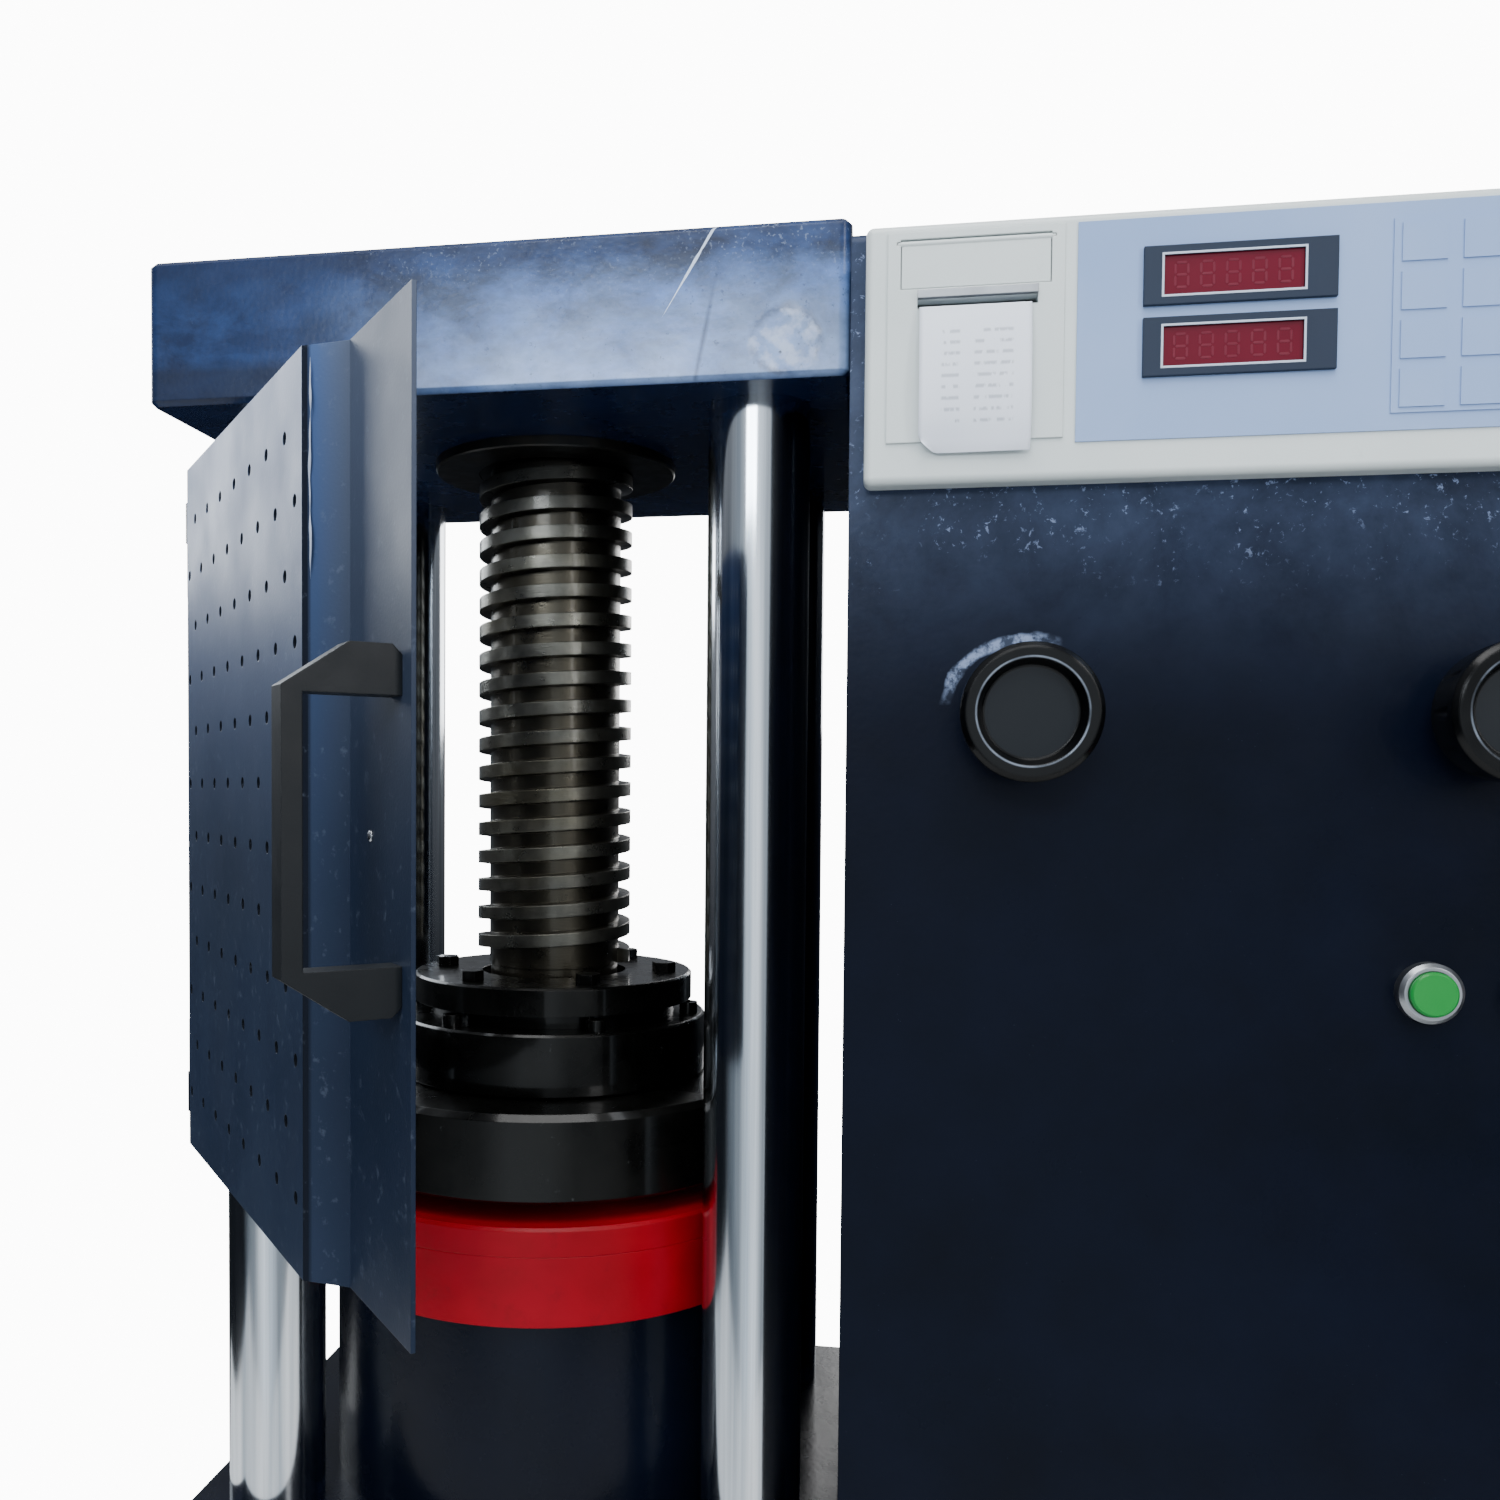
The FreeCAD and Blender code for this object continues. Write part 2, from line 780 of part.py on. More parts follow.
def make_ram():
    """The piston with the red lower platen and its dust skirt."""
    length = "piston_top - piston_bottom"
    piston = turned("piston", [
        ("0", "0"), ("piston_radius - 3", "0"), ("piston_radius", "3"),
        ("piston_radius", length), ("0", length),
    ], z="piston_bottom")
    node(piston, "piston")
    thick = "lower_platen_thickness"
    inner = "groove_radius"
    outer = "groove_radius * 2"
    platen = turned("lower_platen", [
        ("0", "0"), ("lower_platen_radius", "0"), ("lower_platen_radius", thick + " - 2"),
        ("lower_platen_radius - 2", thick),
        (outer + " + groove_width", thick), (outer + " + groove_width", thick + " - groove_depth"),
        (outer, thick + " - groove_depth"), (outer, thick),
        (inner + " + groove_width", thick), (inner + " + groove_width", thick + " - groove_depth"),
        (inner, thick + " - groove_depth"), (inner, thick), ("0", thick),
    ], z="piston_top")
    node(platen, "lower_platen")
    skirt = turned("dust_skirt", [
        ("lower_platen_radius - skirt_wall", "0"), ("lower_platen_radius", "0"),
        ("lower_platen_radius", "skirt_height"), ("lower_platen_radius - skirt_wall", "skirt_height"),
    ], z="piston_top - skirt_height")
    node(skirt, "dust_skirt")


# Upper platen on its spherical seat

def make_head():
    """The upper platen, the ball on it, the seat, the retaining ring and their screws."""
    thick = "upper_platen_thickness"
    platen = turned("upper_platen", [
        ("0", "0"), ("groove_radius", "0"), ("groove_radius", "groove_depth"),
        ("groove_radius + groove_width", "groove_depth"), ("groove_radius + groove_width", "0"),
        ("groove_radius * 2", "0"), ("groove_radius * 2", "groove_depth"),
        ("groove_radius * 2 + groove_width", "groove_depth"), ("groove_radius * 2 + groove_width", "0"),
        ("upper_platen_radius - 2", "0"), ("upper_platen_radius", "2"),
        ("upper_platen_radius", thick + " - 4"), ("upper_platen_radius - 4", thick), ("0", thick),
    ], z="upper_face")
    drill_circle(platen, "platen_tapping", thick, "seat_screw_circle", "seat_screw_radius + clearance",
                 "seat_screw_length - seat_height + 2", "seat_screws")
    node(platen, "upper_platen")

    ball = doc.addObject("Part::Sphere", "ball")
    bind(ball, Radius="ball_radius")
    place(ball, z="upper_face")
    above = cylinder("ball_height", "0", "0", "seat_bottom", "ball_rim", "ball_radius")
    cap = doc.addObject("Part::Common", "ball_cap")
    cap.Base = ball
    cap.Tool = above
    node(cap, "ball_cap")

    socket = doc.addObject("Part::Sphere", "washer_socket")
    bind(socket, Radius="ball_radius + spherical_fit")
    place(socket, z="upper_face")
    blank = cylinder("washer_blank", "0", "0", "washer_bottom", "washer_radius", "washer_top - washer_bottom")
    node(cut("thrust_washer", blank, socket), "thrust_washer")

    seat = turned("ball_seat", [
        ("seat_cavity", "0"), ("seat_radius - 2", "0"), ("seat_radius", "2"),
        ("seat_radius", "seat_height - 1.5"), ("seat_radius - 1.5", "seat_height"),
        ("seat_neck_radius", "seat_height"), ("seat_neck_radius", "seat_height + seat_neck_height"),
        ("seat_cavity", "seat_height + seat_neck_height"),
    ], z="seat_bottom")
    drill_circle(seat, "seat_tapping", "seat_height + seat_neck_height", "ring_bolt_circle",
                 "ring_bolt_radius + clearance", "ring_bolt_grip - ring_thickness + 2", "ring_bolts")
    drill_circle(seat, "seat_clearance", "seat_height", "seat_screw_circle",
                 "seat_screw_radius + clearance", "seat_height", "seat_screws")
    node(seat, "ball_seat")

    clamp = turned("retaining_ring", [
        ("ring_bore", "0"), ("ring_radius", "0"), ("ring_radius", "ring_thickness - 1.5"),
        ("ring_radius - 1.5", "ring_thickness"), ("ring_bore", "ring_thickness"),
    ], z="ring_bottom")
    drill_circle(clamp, "ring_drilling", "ring_thickness", "ring_bolt_circle",
                 "ring_bolt_radius + clearance", "ring_thickness", "ring_bolts")
    node(clamp, "retaining_ring")

    node(bolt_circle("ring_bolts", "ring_top", "ring_bolt_circle", "ring_bolt_radius", "ring_bolt_grip",
                     "bolt_head_radius", "bolt_head_height", "ring_bolts", True), "ring_bolts")
    node(bolt_circle("seat_screws", "seat_top", "seat_screw_circle", "seat_screw_radius", "seat_screw_length",
                     "seat_head_radius", "seat_head_height", "seat_screws", False), "seat_screws")


def drill_circle(body, name, level, circle, radius, depth, count):
    """Drills a circle of holes down from a level of a turned body."""
    mark = new_sketch(body, "XY_Plane", name + "_mark", level)
    ring(mark, circle, "0", radius)
    hole = pocket(body, mark, name + "_hole", depth)
    polar(body, hole, name, count)


def bolt_circle(name, level, circle, radius, grip, head_radius, head_height, count, hexagonal):
    """Screws on a circle, each one solid with its head on the level."""
    screws = []
    total = round(value(count))
    for i in range(total):
        turn = f"{i} * 360deg / {count}"
        spot = (f"{circle} * cos({turn})", f"{circle} * sin({turn})")
        if hexagonal:
            head = hexagon(f"{name}_head_{i}", *spot, level, f"{head_radius} * 2 * cos(30deg)", head_height)
        else:
            whole = cylinder(f"{name}_cap_{i}", *spot, level, head_radius, head_height)
            key = hexagon(f"{name}_key_{i}", *spot, f"{level} + {head_height} / 2", head_radius, head_height)
            head = cut(f"{name}_head_{i}", whole, key)
        shank = cylinder(f"{name}_shank_{i}", *spot, f"{level} - {grip}", radius, f"{grip} + 0.5")
        screws.append(merged(f"{name}_{i}", head, shank))
    return group(name, *screws)


# Lead screw and nut

def helical_ridge(foot_radius, tip_radius, foot_width, tip_width, low, length):
    """A ridge of trapezoid section wound right-handed round Z, from stretches of a few turns each."""
    pitch = value("thread_pitch")
    turns_each = 4
    count = math.ceil(length / pitch / turns_each)
    rise = length / count
    corners = [
        Vector(foot_radius, 0, -foot_width / 2), Vector(tip_radius, 0, -tip_width / 2),
        Vector(tip_radius, 0, tip_width / 2), Vector(foot_radius, 0, foot_width / 2),
    ]
    section = Part.makePolygon(corners + corners[:1])
    stretches = []
    for i in range(count):
        helix = Part.makeHelix(pitch, rise, foot_radius)
        stretch = Part.Wire(helix).makePipeShell([section], True, True)
        stretch.rotate(Vector(), Vector(0, 0, 1), 360 * i * rise / pitch)
        stretch.translate(Vector(0, 0, low + i * rise))
        stretches.append(stretch)
    first, *others = stretches
    return first.fuse(others) if others else first


def make_screw():
    """The lead screw: a foot flange, a neck, a right-hand square thread and a top stub."""
    root = value("thread_root")
    low = value("thread_bottom")
    high = value("crosshead_top")
    foot_low = value("washer_top + spherical_fit")
    foot_top = value("screw_foot_top")
    foot_radius = value("screw_foot_radius")
    neck = value("screw_neck_radius")
    stub = value("stub_radius")
    stub_top = high + value("stub_length")
    profile = [
        (0, foot_low), (foot_radius - 2, foot_low), (foot_radius, foot_low + 2), (foot_radius, foot_top),
        (neck, foot_top), (neck, low), (root, low), (root, high), (stub, high), (stub, stub_top - 1.5),
        (stub - 1.5, stub_top), (0, stub_top),
    ]
    corners = [Vector(radius, 0, level) for radius, level in profile]
    face = Part.Face(Part.makePolygon(corners + corners[:1]))
    core = face.revolve(Vector(), Vector(0, 0, 1), 360)
    first = value("thread_first")
    ridge = helical_ridge(root - value("thread_bite"), value("thread_radius"), value("thread_foot"),
                          value("thread_land"), first, high - first - (first - low))
    item = doc.addObject("Part::Feature", "lead_screw")
    item.Shape = core.fuse(ridge)
    return node(item, "lead_screw")


def make_nut():
    """The bronze nut with its flange under the crosshead and a matching inner thread."""
    low = value("underside - nut_flange")
    high = value("crosshead_top - nut_top_gap")
    outer = value("nut_radius")
    flange = value("nut_flange_radius")
    underside = value("underside")
    bore = value("thread_radius + clearance")
    profile = [(bore, low), (flange - 1, low), (flange, low + 1), (flange, underside), (outer, underside),
               (outer, high), (bore, high)]
    corners = [Vector(radius, 0, level) for radius, level in profile]
    sleeve = Part.Face(Part.makePolygon(corners + corners[:1])).revolve(Vector(), Vector(0, 0, 1), 360)
    pitch = value("thread_pitch")
    foot_width = pitch - value("thread_land + thread_play * 2")
    tip_width = foot_width - value("thread_taper")
    first = value("thread_first")
    turns_up = math.ceil((low + foot_width - first) / pitch)
    ridge_low = first + turns_up * pitch + pitch / 2
    ridge = helical_ridge(bore + value("thread_bite"), value("thread_root + thread_play"), foot_width,
                          tip_width, ridge_low, high - foot_width - ridge_low)
    item = doc.addObject("Part::Feature", "screw_nut")
    item.Shape = sleeve.fuse(ridge)
    return node(item, "screw_nut")


def make_handwheel():
    """A four-spoke wheel on the stub above the crosshead."""
    level = "crosshead_top + wheel_gap + wheel_tube"
    rim = doc.addObject("Part::Torus", "wheel_rim")
    bind(rim, Radius1="wheel_radius", Radius2="wheel_tube")
    place(rim, z=level)
    hub = cylinder("wheel_hub", "0", "0", "crosshead_top + 2", "hub_radius", "stub_length - 3")
    spokes = [
        cylinder("wheel_spoke_across", "-wheel_radius", "0", level, "spoke_radius", "wheel_radius * 2", "X"),
        cylinder("wheel_spoke_deep", "0", "-wheel_radius", level, "spoke_radius", "wheel_radius * 2", "Y"),
    ]
    bore = cylinder("wheel_bore", "0", "0", "crosshead_top", "stub_radius + 0.05", "stub_length * 2")
    return node(cut("handwheel", merged("wheel_solid", rim, hub, *spokes), bore), "handwheel")


# Guard door

def make_hinges():
    """Two collars clamped on the front left column, each with an arm, an eye and a pin."""
    spot = ("-column_x", "-column_y")
    eye = ("door_hinge_x", "door_hinge_y")
    collars = []
    pins = []
    for name, level in (("low", "collar_low"), ("high", "collar_high")):
        clamp = cylinder(f"collar_{name}_clamp", *spot, level, "collar_radius", "collar_height")
        lug = cylinder(f"collar_{name}_eye", *eye, level, "hinge_eye", "collar_height")
        arm = doc.addObject("Part::Box", f"collar_{name}_arm")
        bind(arm, Length="sqrt(pow(door_hinge_x + column_x; 2) + pow(door_hinge_y + column_y; 2))",
             Width="hinge_arm", Height="collar_height")
        aim = math.atan2(value("door_hinge_y + column_y"), value("door_hinge_x + column_x"))
        arm.Placement = Placement(Vector(), Rotation(Vector(0, 0, 1), math.degrees(aim)))
        place(arm, f"-column_x + hinge_arm / 2 * {math.sin(aim)}",
              f"-column_y - hinge_arm / 2 * {math.cos(aim)}", level)
        through = (level + " - 1", "collar_height + 2")
        hole = cylinder(f"collar_{name}_hole", *spot, through[0], "column_radius + clearance", through[1])
        bore = cylinder(f"collar_{name}_bore", *eye, through[0], "hinge_pin_radius + hinge_fit", through[1])
        collars.append(cut(f"collar_{name}", merged(f"collar_{name}_solid", clamp, lug, arm), hole, bore))
        pin_low = level if name == "low" else level + " - knuckle_height"
        pins.append(cylinder(f"pin_{name}", *eye, pin_low, "hinge_pin_radius",
                             "collar_height + knuckle_height"))
    node(group("hinge_collars", *collars), "hinge_collars")
    node(group("hinge_pins", *pins), "hinge_pins")


def on_door(item):
    """Carries an object drawn in the closed sheet's own frame to the open door."""
    return place(item, "door_x", "door_y", "0", Rotation(Vector(0, 0, 1), -value("door_open")))


def make_door():
    """The perforated door: a flat pan, a joggle, a flange, and two knuckles on the pins."""
    body = new_body("door_sheet_metal")
    section = new_sketch(body, "XY_Plane", "door_section")
    half = "door_sheet / 2"
    kink = "door_sheet * 0.4"
    outline(section, [
        ("door_edge", "-" + half), ("door_pan", "-" + half),
        ("door_flange_start", "door_joggle - " + half), ("door_width", "door_joggle - " + half),
        ("door_width", "door_joggle + " + half), ("door_flange_start - " + kink, "door_joggle + " + half),
        ("door_pan - " + kink, half), ("door_edge", half),
    ])
    pad(body, section, "door_folded_sheet", "door_height")
    rows = {
        "door_long_rows": (8, "perforation_start", "perforation_margin"),
        "door_short_rows": (7, "perforation_start + perforation_pitch / 2",
                            "perforation_margin + perforation_row_gap"),
    }
    rise = "perforation_row_gap * 2 * (perforation_rows - 1)"
    for name, (count, start, level) in rows.items():
        marks = new_sketch(body, "XZ_Plane", name + "_marks", "-door_sheet")
        for i in range(count):
            ring(marks, f"{start} + {i} * perforation_pitch", level, "perforation_radius")
        holes = pocket(body, marks, name + "_holes", "door_sheet * 2", True)
        linear(body, holes, name, "Z_Axis", rise, "perforation_rows")
    fixing = new_sketch(body, "XZ_Plane", "handle_fixing", "-door_joggle - door_sheet")
    for side in ("-", "+"):
        ring(fixing, "handle_station", f"handle_middle - door_bottom {side} handle_screw_span / 2",
             "handle_screw_bore")
    pocket(body, fixing, "handle_fixing_holes", "door_sheet * 2", True)
    place(body, "0", "0", "door_z")

    knuckles = []
    for name, level in (("low", "collar_low + collar_height + clearance"),
                        ("high", "collar_high - knuckle_height + clearance")):
        tall = "knuckle_height - clearance * 2"
        barrel = cylinder(f"knuckle_{name}_barrel", "0", "door_offset", level, "knuckle_radius", tall)
        leaf = box(f"knuckle_{name}_leaf", "0", "door_sheet * 0.3", level,
                   "hinge_leaf_width", "hinge_leaf", tall)
        bore = cylinder(f"knuckle_{name}_bore", "0", "door_offset", level + " - 1",
                        "hinge_pin_radius + hinge_fit", "knuckle_height + 2")
        knuckles.append(cut(f"knuckle_{name}", merged(f"knuckle_{name}_solid", barrel, leaf), bore))
    node(on_door(merged("door_panel", body, *knuckles)), "door_panel")


def make_handle():
    """A bow handle on the outside of the door's flange, with two screws from inside."""
    body = new_body("door_handle")
    side = new_sketch(body, "YZ_Plane", "handle_side", "handle_station - handle_width / 2")
    face = "(door_joggle - door_sheet / 2 - 0.05)"
    grip = face + " - handle_reach"
    low = "(bed_top + handle_middle - handle_length / 2)"
    high = "(bed_top + handle_middle + handle_length / 2)"
    outline(side, [
        (face, low + " + handle_corner"), (face + " - handle_corner", low),
        (grip + " + handle_shoulder", low), (grip, low + " + handle_shoulder_drop"),
        (grip, high + " - handle_shoulder_drop"),
        (grip + " + handle_shoulder", high), (face + " - handle_corner", high),
        (face, high + " - handle_corner"), (face, high + " - handle_foot"),
        (grip + " + handle_thickness", high + " - handle_foot"),
        (grip + " + handle_thickness", low + " + handle_foot"), (face, low + " + handle_foot"),
    ])
    pad(body, side, "handle_solid", "handle_width")
    taps = new_sketch(body, "XZ_Plane", "handle_taps", "-door_joggle")
    for sign in ("-", "+"):
        level = f"bed_top + handle_middle {sign} handle_screw_span / 2"
        ring(taps, "handle_station", level, "handle_screw_bore")
    pocket(body, taps, "handle_tapping", "handle_screw_grip + handle_tap_room", True)
    node(on_door(body), "door_handle")

    screws = []
    for name, sign in (("low", "-"), ("high", "+")):
        level = f"bed_top + handle_middle {sign} handle_screw_span / 2"
        back = "door_joggle + door_sheet / 2"
        head = cylinder(f"handle_screw_{name}_head", "handle_station", back, level, "handle_screw_radius * 2",
                        "handle_screw_head", "Y")
        shank = cylinder(f"handle_screw_{name}_shank", "handle_station", back + " - handle_screw_grip", level,
                         "handle_screw_radius", "handle_screw_grip + 0.5", "Y")
        screws.append(merged(f"handle_screw_{name}", head, shank))
    node(on_door(group("handle_screws", *screws)), "handle_screws")


# Console cabinet

def make_cabinet():
    """The folded sheet cabinet: closed front, sides, top and floor, open at the back."""
    body = new_body("cabinet_shell")
    plan = new_sketch(body, "XY_Plane", "cabinet_plan", "plinth_height")
    rectangle(plan, "console_left", "console_front", "console_right", "console_back")
    block = pad(body, plan, "cabinet_block", "console_height - plinth_height")
    corners = round_edges(body, block, "cabinet_corners",
                          lambda span: span.YMax < value("console_front") + 0.01 and not span.XLength < 0.01
                          and span.ZMin > value("console_height") - 0.01, "cabinet_corner")
    body.Tip = corners
    inside = new_sketch(body, "XZ_Plane", "cabinet_inside_outline", "-(console_back + 1)")
    rectangle(inside, "console_left + sheet_wall", "plinth_height + sheet_wall",
              "console_right - sheet_wall", "console_height - sheet_wall")
    pocket(body, inside, "cabinet_hollow", "console_depth + 1 - sheet_wall - cabinet_corner", True)
    inner = new_sketch(body, "XZ_Plane", "cabinet_front_pocket", "-(cabinet_inside + cabinet_corner + 1)")
    rectangle(inner, "console_left + sheet_wall", "plinth_height + sheet_wall",
              "console_right - sheet_wall", "console_height - cabinet_corner")
    pocket(body, inner, "cabinet_front_hollow", "cabinet_corner + 1", True)
    front = new_sketch(body, "XZ_Plane", "cabinet_front_holes", "-(console_front - 1)")
    rectangle(front, *narrowed("printer", "printer_lip"))
    for across in ("load_valve", "release_valve"):
        ring(front, across, "valve_level", "spindle_radius + 2")
    for side in ("-", "+"):
        ring(front, f"release_valve {side} button_pitch / 2", "button_level", "button_stem + 0.5")
    pocket(body, front, "cabinet_front_openings", "sheet_wall + 2")
    side_holes = new_sketch(body, "YZ_Plane", "cabinet_side_holes", "console_left - 1")
    ring(side_holes, "-pipe_side", "pipe_level", "pipe_radius + 3")
    for depth in ("-", ""):
        for level in ("window_sill", "window_sill + window_height"):
            ring(side_holes, f"{depth}column_y", level, "tie_bolt_radius + clearance")
    pocket(body, side_holes, "cabinet_side_openings", "sheet_wall + 2", True)
    node(body, "cabinet_shell")

    plinth = new_body("plinth")
    frame = new_sketch(plinth, "XY_Plane", "plinth_frame")
    rectangle(frame, "console_left + plinth_inset", "console_front + plinth_inset",
              "console_right - plinth_inset", "console_back - plinth_inset")
    inner = "(plinth_inset + plinth_wall)"
    rectangle(frame, f"console_left + {inner}", f"console_front + {inner}",
              f"console_right - {inner}", f"console_back - {inner}")
    pad(plinth, frame, "plinth_walls", "plinth_height")
    node(plinth, "plinth")


def make_rear():
    """The louvred rear cover and the mains inlet in it."""
    body = new_body("rear_cover")
    plate = new_sketch(body, "XZ_Plane", "rear_plate", "-tank_back")
    margin = "(sheet_wall + clearance)"
    rectangle(plate, f"console_left + {margin}", f"plinth_height + {margin}",
              f"console_right - {margin}", f"console_height - {margin}")
    rectangle(plate, "inlet_left", "inlet_level", "inlet_left + inlet_width", "inlet_level + inlet_height")
    pad(body, plate, "rear_plate_sheet", "sheet_wall", True)
    slot = new_sketch(body, "XZ_Plane", "louvre_mark", "-(tank_back - 1)")
    base = "(console_height - louvre_drop)"
    rectangle(slot, "console_middle - louvre_length / 2", base,
              "console_middle + louvre_length / 2", base + " + louvre_slot")
    louvre = pocket(body, slot, "louvre_cut", "sheet_wall + 2")
    linear(body, louvre, "louvres", "Z_Axis", "louvre_pitch * (louvre_count - 1)", "louvre_count")
    node(body, "rear_cover")

    inlet = new_body("power_inlet")
    block = new_sketch(inlet, "XZ_Plane", "inlet_block", "-(tank_back + sheet_wall + 2)")
    rectangle(block, "inlet_left + screw_hole_gap", "inlet_level + screw_hole_gap",
              "inlet_left + inlet_width - screw_hole_gap", "inlet_level + inlet_height - screw_hole_gap")
    pad(inlet, block, "inlet_housing", "inlet_depth")
    well = new_sketch(inlet, "XZ_Plane", "inlet_well", "-(tank_back + sheet_wall + 2)")
    rectangle(well, "inlet_left + inlet_wall * 2", "inlet_level + inlet_wall",
              "inlet_left + inlet_width - inlet_wall * 2", "inlet_level + inlet_height - inlet_wall")
    pocket(inlet, well, "inlet_recess", "inlet_depth - inlet_wall", True)
    pins = new_sketch(inlet, "XZ_Plane", "inlet_pins", "-(tank_back + sheet_wall + 2 - inlet_depth)")
    for i in range(3):
        left = f"inlet_left + (inlet_width - inlet_pin) / 2 + {i - 1} * inlet_pin_pitch"
        middle = "inlet_level + inlet_height / 2"
        rectangle(pins, left, middle + " - inlet_pin", left + " + inlet_pin", middle + " + inlet_pin")
    pad(inlet, pins, "inlet_contacts", "inlet_depth - inlet_wall - 1", True)
    node(inlet, "power_inlet")


def make_ties():
    """Four bolts that tie the cabinet to the stand, each with its nut."""
    ties = []
    face = "console_left + sheet_wall"
    inner = "half_width - stand_wall"
    for side, name in (("-", "front"), ("", "rear")):
        for level, rank in (("window_sill", "low"), ("window_sill + window_height", "high")):
            label = f"tie_{name}_{rank}"
            depth = f"{side}column_y"
            head = hexagon(label + "_head", face, depth, level, "tie_bolt_head * 2", "tie_head_height", "X")
            nut = hexagon(label + "_nut", inner + " - tie_nut_height", depth, level, "tie_bolt_head * 2",
                          "tie_nut_height", "X")
            shank = cylinder(label + "_shank", inner + " - tie_nut_height - tie_end", depth, level,
                             "tie_bolt_radius", "tie_nut_height + tie_end + stand_wall + console_gap"
                             " + sheet_wall + 1", "X")
            ties.append(merged(label, head, nut, shank))
    node(group("tie_bolts", *ties), "tie_bolts")


# Display panel

def plate(name, left, low, width, height, back, thickness):
    """A flat plate that stands on the plane Y = back and grows to the front."""
    body = new_body(name)
    sketch = new_sketch(body, "XZ_Plane", name + "_outline", f"-({back})")
    rectangle(sketch, left, low, f"{left} + {width}", f"{low} + {height}")
    pad(body, sketch, name + "_plate", thickness)
    return body


def make_panel():
    """The cream display housing with its label, display frames, windows and keypad."""
    body = plate("panel_bezel", "panel_left", "panel_bottom", "panel_width", "panel_height", "console_front",
                 "panel_thickness")
    doc.recompute()
    front = value("panel_front")
    rounded = round_edges(body, body.Tip, "panel_rounding",
                          lambda span: span.YMin < front + 0.01, "panel_round")
    body.Tip = rounded
    hole = new_sketch(body, "XZ_Plane", "printer_hole", "-(panel_front - 1)")
    rectangle(hole, *narrowed("printer", "printer_lip"))
    pocket(body, hole, "printer_opening", "panel_thickness + 2")
    node(body, "panel_bezel")

    node(plate("panel_label", "label_left", "label_bottom", "label_width", "label_height", "panel_front",
               "label_thickness"), "panel_label")

    frames = []
    windows = []
    for name, level in (("low", "display_low"), ("high", "display_low + display_pitch")):
        frame = plate(f"display_frame_{name}", "display_left", level, "display_width", "display_height",
                      "label_front", "display_thickness")
        glass = new_sketch(frame, "XZ_Plane", f"display_opening_{name}",
                           "-(label_front - display_thickness - 1)")
        left = "(display_left + display_frame)"
        low = f"({level} + display_frame_end)"
        rectangle(glass, left, low, left + " + pane_width", low + " + pane_height")
        pocket(frame, glass, f"display_window_cut_{name}", "display_thickness + 2")
        frames.append(frame)
        windows.append(plate(f"display_window_{name}", left + " + window_gap", low + " + window_gap",
                             "pane_width - window_gap * 2", "pane_height - window_gap * 2",
                             "label_front", "window_thickness"))
    node(group("display_frames", *frames), "display_frames")
    node(group("display_windows", *windows), "display_windows")

    pad_body = plate("keypad", "keypad_left", "keypad_bottom", "keypad_width",
                     "label_height - keypad_margin * 2", "label_front", "keypad_thickness")
    keys = new_sketch(pad_body, "XZ_Plane", "key_outlines", "-(label_front - keypad_thickness)")
    for i in range(round(value("key_columns"))):
        for j in range(round(value("key_rows"))):
            left = f"keypad_left + key_pitch_x * ({i} + 0.5) - key_width / 2"
            low = f"keypad_bottom + key_pitch_z * ({j} + 0.5) - key_depth / 2"
            rectangle(keys, left, low, left + " + key_width", low + " + key_depth")
    pad(pad_body, keys, "key_pads", "key_rise")
    node(pad_body, "keypad")


# Slip printer

